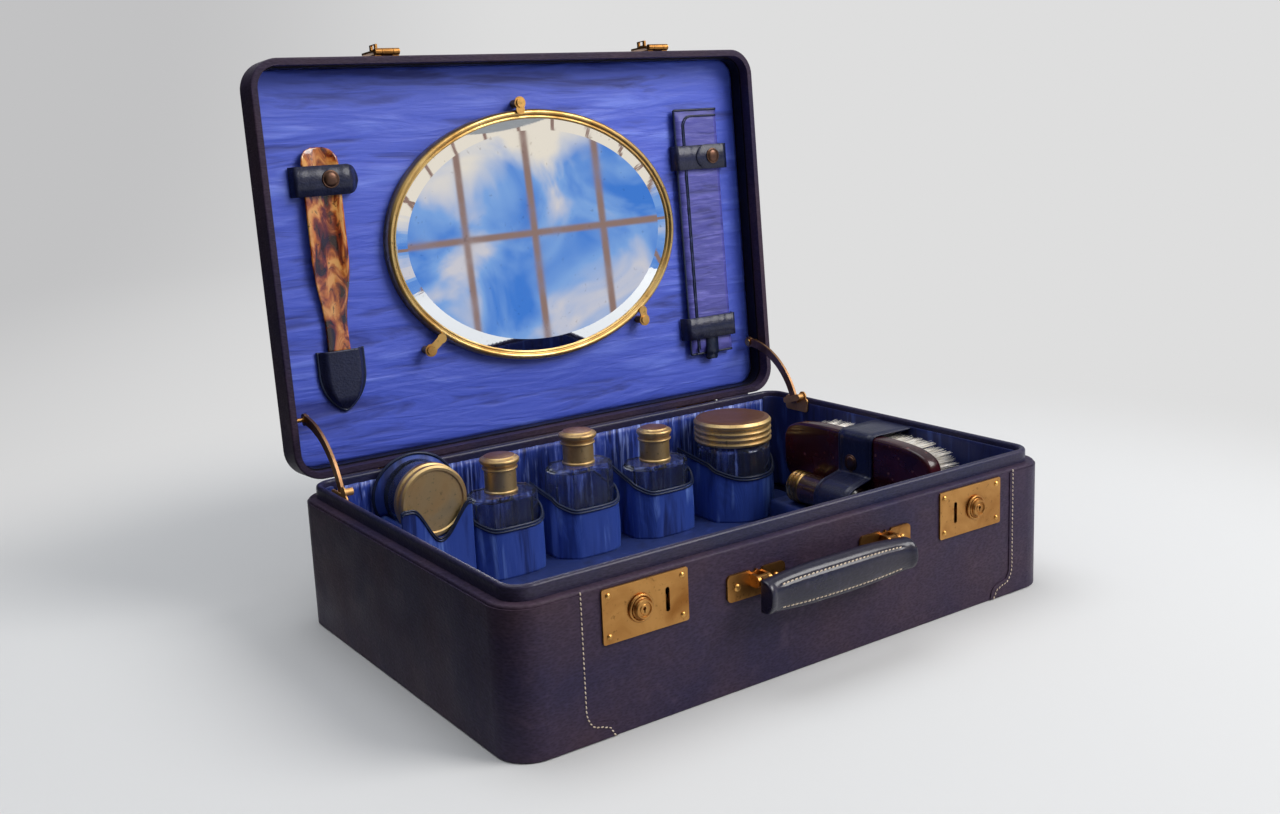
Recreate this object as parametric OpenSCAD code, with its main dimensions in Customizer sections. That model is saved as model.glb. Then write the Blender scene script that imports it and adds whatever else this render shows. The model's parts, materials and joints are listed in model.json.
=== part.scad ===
// Fitted dressing box: a leather-covered travelling case with a fitted lid,
// three toilet bottles, a tall jar, a round box, a brush and a small tube.
// X runs left to right, Y front to back, Z up. The origin is the middle of the underside.
// Everything on the lid is drawn with the lid shut and then swung open about the hinge.

/* [Case] */
// Width of the case, left to right
case_w = 420; // [416:1:424]
// Depth of the case, front to back
case_d = 281; // [280:0.5:283]
// Height of the lower body up to its shoulder
body_h = 87; // [86:0.5:88]
// Height of the lid
lid_h = 25; // [24.5:0.5:27]
// Radius of the upright corners
corner_r = 20; // [18:1:22]
// Height of the lined collar above the shoulder
collar_rise = 8.6; // [8:0.1:9]
// Angle at which the lid stands open
lid_open = 93.8; // [93:0.1:94.5]
// Sideways offset of the hand-fitted front and lid fittings
fit_x = 4; // [0:0.5:5]

/* [Front fittings] */
// Distance of each lock plate's middle from the fittings' centre line
lock_x = 129; // [124:1:134]
// Height of the lock plates' middle
lock_z = 69; // [68:0.5:70]
// Width of a lock plate
lock_w = 57; // [54:1:60]
// Height of a lock plate
lock_h = 31; // [28:1:34]
// Diameter of the ringed sliding button
button_d = 12.4; // [11.8:0.2:14]
// Half the spacing of the handle's two brackets
handle_x = 51.7; // [48:0.1:56]
// Height of the handle's pivot
handle_z = 66; // [64:0.5:68]
// Length of the leather grip
grip_l = 116; // [112:1:122]

/* [Lid fittings] */
// Width of the oval mirror frame
mirror_w = 250; // [240:1:256]
// Height of the oval mirror frame
mirror_h = 187; // [180:1:188]
// Length of the shoehorn
horn_l = 168; // [160:1:172]
// Length of the flat sleeve
sleeve_l = 200; // [190:1:204]

/* [Bottles and brush] */
// Width of each bottle's body, left to right along the row
bottle_w = [51, 50, 51]; // [47:0.5:52]
// Height of each bottle's shoulder above the floor board
bottle_shoulder = [57.3, 65.5, 54.8]; // [50:0.1:68]
// Height of each bottle's cap top above the floor board
bottle_top = [84.6, 91, 81.5]; // [78:0.1:91]
// Radius of the tall jar
jar_r = 29; // [28:0.5:30]
// Radius of the round box
box_r = 25.5; // [24:0.5:26]
// Length of the brush
brush_l = 153; // [140:1:156]
// Count of bristle tufts along the brush
tuft_cols = 44; // [30:1:44]
// Count of bristle tufts across the brush
tuft_rows = 10; // [6:1:11]

/* [Hidden] */
$fn = 48;
eps = 0.01;

wall = 5.8;             // shell wall, which is also the width of the shoulder
collar_t = 4.2;         // thickness of the collar's board
floor_t = 5;            // thickness of the bottom board
floor_z = 14;           // top of the padded floor board
lining_t = 1.2;         // thickness of the silk on the inner walls
pleat_t = 3.2;          // depth of the gathered silk on the back wall
cover_t = 0.7;          // thickness of the leather that wraps each end
inner_w = case_w - 2 * (wall + collar_t);
inner_d = case_d - 2 * (wall + collar_t);
inner_r = corner_r - wall - collar_t;
collar_top = body_h + collar_rise;
front_y = -case_d / 2;
back_y = case_d / 2;
hinge_y = back_y + 3.2;
hinge_z = body_h + 3.6;
lid_top = body_h + lid_h;
lid_wall = 4.8;         // thinner than the shoulder, so that it swings past the collar
lid_panel = 3;
lid_lining_t = 1.2;
silk_t = 2;
silk_z = lid_top - lid_panel - silk_t;

plate_t = 1.2;          // lock plates
plate_y = front_y - plate_t;
slot_dx = 14.3;         // slot from the plate's middle, towards the handle
button_dx = 4;          // button from the plate's middle, away from the handle
button_travel = 3;
hasp_x = lock_x - slot_dx;
hasp_y = front_y - 3.1; // axis of the hasps' knuckles, lid shut
hasp_z = body_h + 3;
hasp_r = 2.3;
staple_drop = hasp_z - lock_z;

handle_y = front_y - 6.3;
grip_y = front_y - 11.7; // flat back of the grip

mirror_y = -8;          // middle of the mirror, lid shut
mirror_z = silk_z - 8.4; // face of the frame
frame_w = 7;
glass_t = 3;

horn_x = -163.2;
horn_y = 1.5;
sleeve_x = 160.3;
sleeve_y = 4;

stay_r = 60;            // radius of each stay's curve
stay_w = 6.5;
stay_t = 2;
stay_x = inner_w / 2 - lining_t - 2.6; // middle plane of a stay
stay_pivot = [hinge_y - 44.3, hinge_z + 6.8];
stay_turn = 73;         // degrees of arc from the pivot to the stop
stay_start = -84.6;     // heading at the pivot
guide_pos = [hinge_y - 46.2, hinge_z + 3.9];
guide_turn = 163;       // direction across the bar at the guide
guide_reach = 7.5;      // from the guide's middle to each cheek's middle

row_y = 100;            // middle of the bottle row
bottle_x = [-78, -12.5, 56];
bottle_d = 34;          // front to back
bottle_chamfer = 10;
pocket_t = 1.3;
pocket_back = inner_d / 2 - pleat_t - 1.6;
neck_r = 8.5;
cap_r = [14.2, 14, 13.4];
jar_x = 128;
jar_y = 94.5;
jar_h = 58.2;           // glass body of the jar, below its lid
box_x = -133;
box_z = 76.5;
box_face_y = 92.8;
box_back_y = pocket_back - 2.2;

rack_z = 30;            // top of the silk-covered rack
brush_x = 160;          // face of the brush's back
brush_y = -5.5;
brush_z = rack_z + 8.9; // lower edge of the brush
brush_h = 50.6;
brush_t = 12;
bristle_l = 23.4;
tube_x = 147;
tube_r = 12.5;
tube_z = rack_z + tube_r + 0.1;
tube_y0 = -26;
tube_y1 = 44;
strap_y = -9.5;
strap_w = 37;

// Points of an arc, from angle a0 to a1 in n steps
function arc(cx, cy, r, a0, a1, n = 6) =
    [for (i = [0:n]) let (a = a0 + (a1 - a0) * i / n) [cx + r * cos(a), cy + r * sin(a)]];

// Outline of an oval whose sides are fuller than an ellipse when p is above 2
function oval(a, b, p = 2, n = 72) =
    [for (i = [0:n - 1]) let (t = 360 * i / n, c = cos(t), s = sin(t))
        [a * sign(c) * pow(abs(c), 2 / p), b * sign(s) * pow(abs(s), 2 / p)]];

// Rectangle with round corners
module rounded_rect(w, d, r) {
    square([w - 2 * r, d], center = true);
    square([w, d - 2 * r], center = true);
    for (x = [-1, 1], y = [-1, 1]) translate([x * (w / 2 - r), y * (d / 2 - r)]) circle(r);
}

// Carries a profile round a rounded rectangle. The profile's x is the distance inwards.
module round_sweep(w, d, r) {
    for (k = [0:3])
        rotate([0, 0, 90 * k])
            translate([(k % 2 == 0 ? w : d) / 2 - r, (k % 2 == 0 ? d : w) / 2 - r, 0])
                rotate_extrude(angle = 90) translate([r, 0]) mirror([1, 0]) children();
    for (m = [0, 1]) {
        mirror([0, m, 0]) translate([-(w / 2 - r), -d / 2, 0])
            rotate([90, 0, 90]) linear_extrude(w - 2 * r) children();
        mirror([m, 0, 0]) translate([-w / 2, d / 2 - r, 0])
            rotate([90, 0, 0]) linear_extrude(d - 2 * r) children();
    }
}

// Swings what is drawn on the shut lid to the open position
module on_lid() {
    translate([0, hinge_y, hinge_z]) rotate([-lid_open, 0, 0])
        translate([0, -hinge_y, -hinge_z]) children();
}

// Draws an X-Z outline as a plate from y = y0 towards the front
module front_plate(y0, t) {
    translate([0, y0, 0]) rotate([90, 0, 0]) linear_extrude(t) children();
}

// Draws a Y-Z outline as a plate from x = x0 towards +X
module side_plate(x0, t) {
    translate([x0, 0, 0]) rotate([90, 0, 90]) linear_extrude(t) children();
}

// A low round rivet head whose axis points to the front
module front_rivet(x, y, z, r) {
    translate([x, y, z]) rotate([90, 0, 0]) {
        cylinder(h = 0.4, r = r);
        translate([0, 0, 0.4]) cylinder(h = 0.6, r1 = r, r2 = r * 0.55);
    }
}

module base_shell() {
    color("midnightblue") difference() {
        union() {
            round_sweep(case_w, case_d, corner_r)
                polygon(concat([[wall, 0]], arc(1.2, 1.2, 1.2, 270, 180),
                    arc(1.8, body_h - 1.8, 1.8, 180, 90), [[wall, body_h]]));
            linear_extrude(floor_t) rounded_rect(case_w - 6, case_d - 6, corner_r - 3);
        }
        for (s = [-1, 1])
            translate([fit_x + s * lock_x - 26.7, front_y - 1, lock_z - 13.2])
                cube([53.4, 1 + wall + eps, 26.4]);
    }
}

module base_collar() {
    color("midnightblue")
        round_sweep(case_w - 2 * wall, case_d - 2 * wall, corner_r - wall)
            polygon(concat([[0, floor_t]], arc(collar_t / 2, collar_top - collar_t / 2,
                collar_t / 2, 180, 0, 8), [[collar_t, floor_t]]));
}

module floor_board() {
    color("royalblue") translate([0, 0, floor_t])
        linear_extrude(floor_z - floor_t) rounded_rect(inner_w, inner_d, inner_r);
}

module side_lining() {
    color("royalblue") difference() {
        round_sweep(inner_w, inner_d, inner_r)
            translate([0, floor_z]) square([lining_t, collar_top - 4 - floor_z]);
        translate([-inner_w / 2 + inner_r + 2, 100, 0]) cube([inner_w - 2 * inner_r - 4, 60, 120]);
    }
}

// Gathered silk: close, uneven ripples along the back wall
module back_pleats() {
    half = inner_w / 2 - inner_r - 2.5;
    n = 220;
    front = [for (i = [0:n]) let (x = -half + 2 * half * i / n)
        [x, inner_d / 2 - pleat_t + 0.9 * sin(x * 34 + 60 * sin(x * 3.1))
            + 0.35 * sin(x * 71)]];
    color("royalblue") translate([0, 0, floor_z]) linear_extrude(collar_top - 5 - floor_z)
        polygon(concat(front, [[half, inner_d / 2], [-half, inner_d / 2]]));
}

// Leather that wraps each end of the case and stops at a stitched edge with an ogee foot
module end_covers() {
    edge = 168;
    foot = 150;
    step_z = 17;
    color("midnightblue") for (s = [-1, 1])
        intersection() {
            round_sweep(case_w + 2 * cover_t, case_d + 2 * cover_t, corner_r + cover_t)
                translate([0, 0.8]) square([cover_t, body_h - 2.8]);
            translate([fit_x, 0, 0]) mirror([s < 0 ? 1 : 0, 0, 0]) rotate([90, 0, 0])
                linear_extrude(2 * case_d, center = true)
                    polygon(concat([[case_w, -1], [foot, -1], [foot, 2]],
                        arc(foot + 9, 2, 9, 180, 120, 4),
                        [[edge - 3, step_z - 5], [edge, step_z]],
                        [[edge, body_h], [case_w, body_h]]));
        }
}

// Lock: a brass plate with a slot for the staple and a window for the button's stem,
// and the tray behind it that is let into the front wall
module lock_plate(s) {
    deep = wall - 0.4;
    color("goldenrod") translate([fit_x + s * lock_x, 0, lock_z]) {
        front_plate(front_y, plate_t) difference() {
            rounded_rect(lock_w, lock_h, 1.4);
            translate([-s * slot_dx, 0]) rounded_rect(2.8, 14, 1.39);
            translate([s * (button_dx + button_travel / 2), 0])
                square([5.4 + button_travel, 5.6], center = true);
        }
        translate([0, front_y, 0]) difference() {
            translate([-26.5, -eps, -13]) cube([53, deep + eps, 26]);
            translate([-25.3, -1, -11.8]) cube([50.6, deep, 23.6]);
        }
    }
}
module lock_plate_left() { lock_plate(-1); }
module lock_plate_right() { lock_plate(1); }

module case_rivets() {
    color("darkgoldenrod") {
        for (s = [-1, 1], x = [-1, 1], z = [-1, 1])
            front_rivet(fit_x + s * lock_x + x * (lock_w / 2 - 4), plate_y,
                lock_z + z * (lock_h / 2 - 4), 1.6);
        for (s = [-1, 1], x = [-1, 1])
            front_rivet(fit_x + s * handle_x + x * 14.5, front_y - 1.5, handle_z - 2.4, 2.2);
    }
}

// Ringed button with a keyhole, its stem, and the bolt that hooks the hasp's staple
module lock_slide(s) {
    r = button_d / 2;
    bolt_end = button_dx + slot_dx + 1.3;
    color("goldenrod") translate([fit_x + s * (lock_x + button_dx), plate_y - 0.1, lock_z]) {
        rotate([90, 0, 0]) difference() {
            rotate_extrude() polygon([[0, 0], [r, 0], [r, 1.6], [r - 0.5, 2.2], [r - 0.5, 3.4],
                [r - 1.1, 4.4], [r - 1.9, 4.4], [r - 2.3, 3.6], [2.9, 3.6], [2.5, 4], [0, 4]]);
            translate([0, 0, 1]) linear_extrude(4) {
                translate([0, 0.5]) circle(1);
                translate([-0.4, -1.9]) square([0.8, 2.4]);
            }
        }
        rotate([-90, 0, 0]) translate([0, 0, -eps]) cylinder(h = plate_t + 1.5, r = 2.5);
        translate([-s * (bolt_end - 8) / 2, plate_t + 2, 0])
            cube([bolt_end + 8, 1.2, 4.4], center = true);
        translate([0, plate_t + 2, 0]) cube([14, 1.2, 12], center = true);
    }
}
module lock_slide_left() { lock_slide(-1); }
module lock_slide_right() { lock_slide(1); }

// Plate with two ears and a pin, on which an end of the handle turns
module handle_brackets() {
    ear_r = 3.6;
    color("goldenrod") for (s = [-1, 1]) translate([fit_x + s * handle_x, 0, 0]) {
        front_plate(front_y, 1.5) translate([0, handle_z - 2.4]) difference() {
            rounded_rect(43, 16, 3);
            translate([-2.6, 9.5]) circle(3);
            translate([2.6, 9.5]) circle(3);
        }
        for (x = [-5.1, 2.9]) side_plate(x, 2.2) {
            translate([handle_y, handle_z]) circle(ear_r);
            translate([handle_y, handle_z - ear_r]) square([front_y - handle_y - 1.4, 2 * ear_r]);
        }
        translate([-5.6, handle_y, handle_z]) rotate([0, 90, 0]) cylinder(h = 11.2, r = 1.5);
    }
}

// Brass eyes that carry the grip on the bracket pins
module handle_eyes() {
    color("goldenrod") for (s = [-1, 1]) translate([fit_x + s * handle_x, 0, 0])
        difference() {
            union() {
                side_plate(-2.6, 5.2) {
                    translate([handle_y, handle_z]) circle(3.4);
                    polygon([[handle_y - 1, handle_z + 3], [grip_y, handle_z + 2.4],
                        [grip_y, handle_z - 7], [handle_y + 2, handle_z - 2.6]]);
                }
                front_plate(grip_y + 1.1, 1.1) translate([0, handle_z - 5]) rounded_rect(7.5, 13, 2);
            }
            translate([-4, handle_y, handle_z]) rotate([0, 90, 0]) cylinder(h = 8, r = 1.55);
        }
}

// Half of the grip's height and its thickness along its length, 0 at the middle and 1 at an end
function grip_half(t) = 12.5 - 3.6 * pow(t, 3) + 0.9 * pow(t, 12);
function grip_thick(t) = 10 - 2 * pow(t, 2) + 3.2 * pow(t, 10);

// Stitched leather grip with a flat back, swelling in the middle and flared at its ends
module handle_grip() {
    stations = [-1, -0.93, -0.72, 0, 0.72, 0.93, 1];
    color("midnightblue") translate([fit_x, 0, handle_z - 7])
        for (i = [0:5]) hull() for (t = [stations[i], stations[i + 1]])
            let (a = abs(t), hh = grip_half(a), th = grip_thick(a))
                translate([t * (grip_l / 2 - 0.5), grip_y, 0]) rotate([90, 0, 90])
                    linear_extrude(0.5, center = true)
                        polygon([for (k = [0:16]) let (u = 90 - 180 * k / 16)
                            [-th * pow(cos(u), 0.7), hh * sin(u)]]);
}

// Butt hinges on the back, outside the leather. The pin sits in the lower knuckles.
hinge_span = 40;
knuckle_r = 2.9;
module hinge_leaf(z0, z1, spans, bore_r) {
    color("goldenrod") for (s = [-1, 1]) translate([s * 130 - hinge_span / 2, 0, 0])
        difference() {
            union() {
                translate([0, back_y, z0]) cube([hinge_span, 1.4, z1 - z0]);
                for (k = spans) {
                    translate([k[0], hinge_y, hinge_z]) rotate([0, 90, 0])
                        cylinder(h = k[1] - k[0], r = knuckle_r);
                    translate([k[0], back_y, min(z1, hinge_z)])
                        cube([k[1] - k[0], 1.4, max(z0, hinge_z) - min(z1, hinge_z)]);
                }
            }
            translate([-1, hinge_y, hinge_z]) rotate([0, 90, 0])
                cylinder(h = hinge_span + 2, r = bore_r);
            for (x = [8, hinge_span - 8]) translate([x, back_y - 1, (z0 + z1) / 2])
                rotate([-90, 0, 0]) cylinder(h = 3, r = 1.3);
        }
}
module hinge_lower_leaves() {
    hinge_leaf(body_h - 26, hinge_z - 3.4, [[0, 13], [27, hinge_span]], 1.25);
}
module hinge_upper_leaves() {
    on_lid() hinge_leaf(hinge_z + 3.4, lid_top - 4, [[13.3, 26.7]], 1.26);
}
module hinge_pins() {
    color("goldenrod") for (s = [-1, 1])
        translate([s * 130 - hinge_span / 2 - 0.6, hinge_y, hinge_z]) rotate([0, 90, 0]) {
            cylinder(h = hinge_span + 1.2, r = 1.2);
            for (z = [0, hinge_span + 0.6]) translate([0, 0, z]) cylinder(h = 0.6, r = 1.9);
        }
}

// Curved flat bar: pivoted on the lid, it slides down through the guide as the lid shuts
module stay_outline() {
    c = [stay_pivot[0] - stay_r * sin(stay_start), stay_pivot[1] + stay_r * cos(stay_start)];
    difference() {
        union() {
            intersection() {
                translate(c) difference() {
                    circle(stay_r + stay_w / 2, $fn = 120);
                    circle(stay_r - stay_w / 2, $fn = 120);
                }
                translate(c) polygon([[0, 0],
                    [90 * cos(stay_start - 90), 90 * sin(stay_start - 90)],
                    [90 * cos(stay_start - 50), 90 * sin(stay_start - 50)],
                    [90 * cos(stay_start - 90 + stay_turn), 90 * sin(stay_start - 90 + stay_turn)]]);
            }
            translate(stay_pivot) circle(stay_w / 2 + 1);
        }
        translate(stay_pivot) circle(1.56);
    }
}
module stay(s) {
    color("peru") on_lid() side_plate(s * stay_x - stay_t / 2, stay_t) stay_outline();
}
module stay_left() { stay(-1); }
module stay_right() { stay(1); }

// Bracket on each side wall with two round cheeks, between which a stay slides
module stay_guides() {
    wall_x = inner_w / 2 - lining_t;
    in_x = stay_x - 4;
    cheek = guide_reach * [cos(guide_turn), sin(guide_turn)];
    color("goldenrod") for (m = [0, 1]) mirror([m, 0, 0]) {
        side_plate(wall_x - 1, 1) {
            translate([guide_pos[0], collar_top - 5.9]) rounded_rect(26, 11.6, 3);
            translate(guide_pos + cheek) circle(4);
        }
        for (s = [-1, 1]) side_plate(in_x, wall_x - in_x)
            translate(guide_pos + s * cheek) circle(2.5);
        side_plate(in_x, 1) translate(guide_pos) rotate(guide_turn)
            square([2 * guide_reach, 5], center = true);
    }
}

// Posts that hold the stays off the lid's side walls, and the screws beside the mirror
module lid_screws() {
    head_x = stay_x - stay_t / 2 - 0.15;
    wall_x = case_w / 2 - lid_wall - lid_lining_t;
    color("goldenrod") on_lid() {
        for (s = [-1, 1]) translate([s * head_x, stay_pivot[0], stay_pivot[1]])
            rotate([0, s * 90, 0]) {
                translate([0, 0, -1.2]) cylinder(h = 1.2, r = 3);
                translate([0, 0, -eps]) cylinder(h = wall_x - head_x, r = 1.5);
                translate([0, 0, stay_t + 0.3]) cylinder(h = 0.4, r = 2.6);
            }
        for (p = clip_posts) translate([p[0], p[1], clip_z - 1.2]) {
            cylinder(h = silk_z - clip_z + 1.2, r = 1.5);
            cylinder(h = 1.1, r = 3.2);
        }
    }
}

// Toilet bottle: flat octagonal body with chamfered sides, flat shoulder, round neck
function octagon(w, d, c) = [[w / 2, d / 2 - c], [w / 2 - c, d / 2], [c - w / 2, d / 2],
    [-w / 2, d / 2 - c], [-w / 2, c - d / 2], [c - w / 2, -d / 2], [w / 2 - c, -d / 2],
    [w / 2, c - d / 2]];
module bottle(i) {
    w = bottle_w[i];
    body = bottle_shoulder[i];
    neck = bottle_top[i] - 9;
    color("lightsteelblue", 0.4) translate([bottle_x[i], row_y, floor_z + 0.2]) difference() {
        union() {
            linear_extrude(body - 2) polygon(octagon(w, bottle_d, bottle_chamfer));
            translate([0, 0, body - 2 - eps])
                linear_extrude(2) polygon(octagon(w - 3, bottle_d - 3, bottle_chamfer - 1));
            cylinder(h = neck, r = neck_r);
        }
        translate([0, 0, 5]) linear_extrude(body - 9)
            polygon(octagon(w - 6, bottle_d - 6, bottle_chamfer - 2));
        translate([0, 0, body - 6]) cylinder(h = 60, r = 5.6);
    }
}
module bottle_1() { bottle(0); }
module bottle_2() { bottle(1); }
module bottle_3() { bottle(2); }

// Tall brass cap: foot flange, plain band, waist, ring and low domed top
module bottle_cap(i) {
    r = cap_r[i];
    low = floor_z + 0.4 + bottle_shoulder[i];
    h = floor_z + 0.2 + bottle_top[i] - low;
    color("goldenrod") translate([bottle_x[i], row_y, low]) rotate_extrude() polygon(concat(
        [[neck_r + 0.3, 0], [12, 0], [12, 1.2], [11.3, 1.9], [11.3, h - 11.2], [12.1, h - 10.7]],
        arc(11.8, h - 9.9, 0.9, -70, 70, 4), [[11.5, h - 9], [11.5, h - 8], [r - 0.8, h - 6.2]],
        arc(r - 1.6, h - 4.2, 1.6, -60, 80, 5),
        [[r - 2.6, h - 2], [r - 3.4, h - 1.2], [r - 7, h - 0.4], [0, h]],
        [[0, h - 6], [7, h - 7], [neck_r + 0.3, h - 7.9]]));
}
module bottle_cap_1() { bottle_cap(0); }
module bottle_cap_2() { bottle_cap(1); }
module bottle_cap_3() { bottle_cap(2); }

// Silk sling round a bottle, piped along its edge, which dips at the front
module pocket(x, y, a, b, dip, side, back, p) {
    color("mediumblue") intersection() {
        translate([0, 0, floor_z]) linear_extrude(80) difference() {
            union() {
                translate([x, y]) polygon(oval(a, b, p));
                polygon([[x + a, y], [x + a, pocket_back], [x - a - 0.8, pocket_back],
                    [x - 0.985 * a, y - 0.45 * b], [x - 0.6 * a, y - 0.75 * b]]);
            }
            translate([x, y]) polygon(oval(a - pocket_t, b - pocket_t, p));
            polygon([[x + a - pocket_t, y], [x + a - pocket_t, pocket_back + 1],
                [x - a + pocket_t - 1, pocket_back + 1], [x - 0.985 * a + pocket_t, y - 0.4 * b]]);
        }
        side_plate(x - 50, 100) polygon([[y - b - 1, floor_z], [y - b - 1, dip], [y - b + 1, dip],
            [y - b + 7, dip + 0.45 * (side - dip)], [y - 4, side], [pocket_back, back],
            [pocket_back + 2, back], [pocket_back + 2, floor_z]]);
    }
}
module bottle_pocket(i, back) {
    pocket(bottle_x[i], row_y, bottle_w[i] / 2 + 0.8 + pocket_t, bottle_d / 2 + 1.4 + pocket_t,
        50, 59, back, 3.2);
}
module bottle_pocket_1() { bottle_pocket(0, 61); }
module bottle_pocket_2() { bottle_pocket(1, 64); }
module bottle_pocket_3() { bottle_pocket(2, 68); }
module jar_pocket() { pocket(jar_x, jar_y, jar_r + 1.9, jar_r + 1.9, 49, 60, 65, 2); }

module jar() {
    color("lightsteelblue", 0.4) translate([jar_x, jar_y, floor_z + 0.2]) rotate_extrude()
        polygon([[0, 0], [jar_r - 1.5, 0], [jar_r, 1.5], [jar_r, jar_h - 2], [jar_r - 2, jar_h],
            [jar_r - 2, jar_h + 10], [jar_r - 5, jar_h + 10], [jar_r - 5, jar_h - 2],
            [jar_r - 4, jar_h - 5], [jar_r - 4, 6], [jar_r - 6, 4.5], [0, 4.5]]);
}
module jar_lid() {
    r = jar_r + 1.3;
    h = 19.6;
    rib = function (z) arc(r - 1.4, z, 1.4, -80, 80, 4);
    color("goldenrod") translate([jar_x, jar_y, floor_z + 0.4 + jar_h]) rotate_extrude()
        polygon(concat([[jar_r - 1.7, 0], [r - 1.4, 0]], rib(2), rib(6.2), rib(10.4),
            [[r - 1.2, h - 6], [r, h - 5], [r, h - 3.2], [r - 1.6, h - 1.2], [r - 5, h - 0.2],
            [0, h + 0.4], [0, h - 2], [jar_r - 1.7, h - 9.2]]));
}

// Round box on its side: the brass lid faces the front
module round_box() {
    len = box_back_y - box_face_y;
    color("lightsteelblue", 0.4) translate([box_x, box_back_y, box_z]) rotate([90, 0, 0])
        rotate_extrude() polygon([[0, 0], [box_r - 3, 0], [box_r - 1.2, 1.6], [box_r - 1.2, len - 12],
            [box_r - 3, len - 11], [box_r - 3, len - 4], [box_r - 5.5, len - 4],
            [box_r - 5.5, 5], [0, 4]]);
}
module round_box_lid() {
    r = box_r;
    color("goldenrod") translate([box_x, box_face_y, box_z]) rotate([-90, 0, 0])
        rotate_extrude() polygon([[0, 1], [r - 4.6, 1], [r - 3.8, 0], [r - 2, 0], [r - 0.6, 1.4],
            [r - 0.6, 4], [r - 1.2, 4.8], [r - 1.2, 6.2], [r, 7.2], [r, 10.4], [r - 0.5, 11],
            [r - 2.7, 11], [r - 2.7, 3], [0, 3]]);
}

// Cradle for the round box: a silk block with a trough, a rear sleeve and a notched front
module box_pocket() {
    half = box_r + 1;
    front = box_face_y - 2.6;
    notch_z = 50.5;
    block_z = box_z - 12;
    color("mediumblue") {
        difference() {
            translate([box_x - half, front, floor_z])
                cube([2 * half, pocket_back - front, block_z - floor_z]);
            translate([box_x, pocket_back + 1, box_z]) rotate([90, 0, 0])
                cylinder(h = pocket_back - front - 0.6, r = box_r + 0.4);
            translate([box_x - half + 5, front + 5, floor_z - 1])
                cube([2 * half - 10, pocket_back - front - 10, box_z - box_r - floor_z - 3]);
        }
        front_plate(front + 1.6, 1.6) polygon(concat(
            [[box_x - half, floor_z], [box_x - half, 72], [box_x - half + 2, 74]],
            [for (i = [-12:11]) let (t = i / 12)
                [box_x + 1.5 + (t < 0 ? 20 : 26.8) * t, notch_z + 24 * (1 - cos(180 * t)) / 2]],
            [[box_x + half, 75], [box_x + half, floor_z]]));
        front_plate(pocket_back, 1.8) intersection() {
            translate([box_x, box_z]) polygon(oval(31, 27.6));
            translate([box_x - 40, block_z - 6]) square([80, 60]);
        }
    }
}

// Silk-covered block on which the brush and the tube lie
module brush_rack() {
    x0 = tube_x - 12.6;
    x1 = inner_w / 2 - lining_t;
    color("mediumblue") {
        translate([x0, -98, floor_z]) cube([x1 - x0, 160, rack_z - floor_z]);
        translate([brush_x + 0.4, -82, rack_z - eps])
            cube([x1 - brush_x - 0.4, 142, brush_z - rack_z - 0.1 + eps]);
    }
}

// Band of thickness t laid along a path of points
function ribbon(path, t) = let (n = len(path) - 1, side = [for (i = [0:n])
    let (d = path[min(i + 1, n)] - path[max(i - 1, 0)]) t / 2 * [-d[1], d[0]] / norm(d)])
    concat([for (i = [0:n]) path[i] + side[i]], [for (i = [n:-1:0]) path[i] - side[i]]);

// Leather strap: from the side wall over the brush, down its back and over the tube
module brush_strap() {
    t = 1.6;
    x0 = brush_x - 1.1;
    z1 = brush_z + brush_h + 1.2;
    rr = tube_r + 1.1;
    color("navy") translate([0, strap_y + strap_w / 2, 0]) rotate([90, 0, 0])
        linear_extrude(strap_w) polygon(ribbon(concat([[inner_w / 2 - lining_t, z1]],
            arc(x0 + 5, z1 - 5, 5, 90, 180, 8), [[x0, 61.2], [x0 - 0.8, 59.2]],
            arc(tube_x, tube_z, rr, 104, 180, 12), [[tube_x - rr, rack_z - 9]]), t));
}
module strap_stud() {
    color("saddlebrown") translate([brush_x - 1.9, strap_y + 3.5, 67.8]) rotate([0, -90, 0]) {
        cylinder(h = 0.8, r = 6);
        translate([0, 0, 0.8]) cylinder(h = 1.2, r1 = 5.6, r2 = 3.4);
    }
}

// Outline of the brush, seen from its side
module brush_outline(inset) {
    polygon(oval(brush_l / 2 - inset, brush_h / 2 - inset, 3.2));
}
module brush_at(x) {
    translate([x, brush_y, brush_z + brush_h / 2]) rotate([90, 0, 90]) children();
}
// The brush lies on its edge with its back to the left
module brush_back() {
    color("maroon") brush_at(brush_x) {
        translate([0, 0, 2.4]) linear_extrude(brush_t - 2.4) brush_outline(0);
        translate([0, 0, 1]) linear_extrude(1.4 + eps) brush_outline(0.8);
        linear_extrude(1 + eps) brush_outline(2.4);
    }
}
// Rows of bristles standing on the thin pad that is let onto the back
module brush_bristles() {
    color("ivory") brush_at(brush_x + brush_t) {
        linear_extrude(1.4) brush_outline(1.6);
        for (i = [0:tuft_cols - 1], j = [0:tuft_rows - 1]) {
            x = (i - (tuft_cols - 1) / 2) * (brush_l - 16) / (tuft_cols - 1);
            y = (j - (tuft_rows - 1) / 2) * (brush_h - 12) / (tuft_rows - 1);
            if (pow(abs(2 * x / (brush_l - 10)), 3.2) + pow(abs(2 * y / (brush_h - 7)), 3.2) < 1)
                translate([x, y, 1]) rotate([-0.12 * y, 0.03 * x, 0])
                    cylinder(h = bristle_l - 1.4 - 0.6 * ((i + 2 * j) % 3), r = 0.75, $fn = 4);
        }
    }
}

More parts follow.
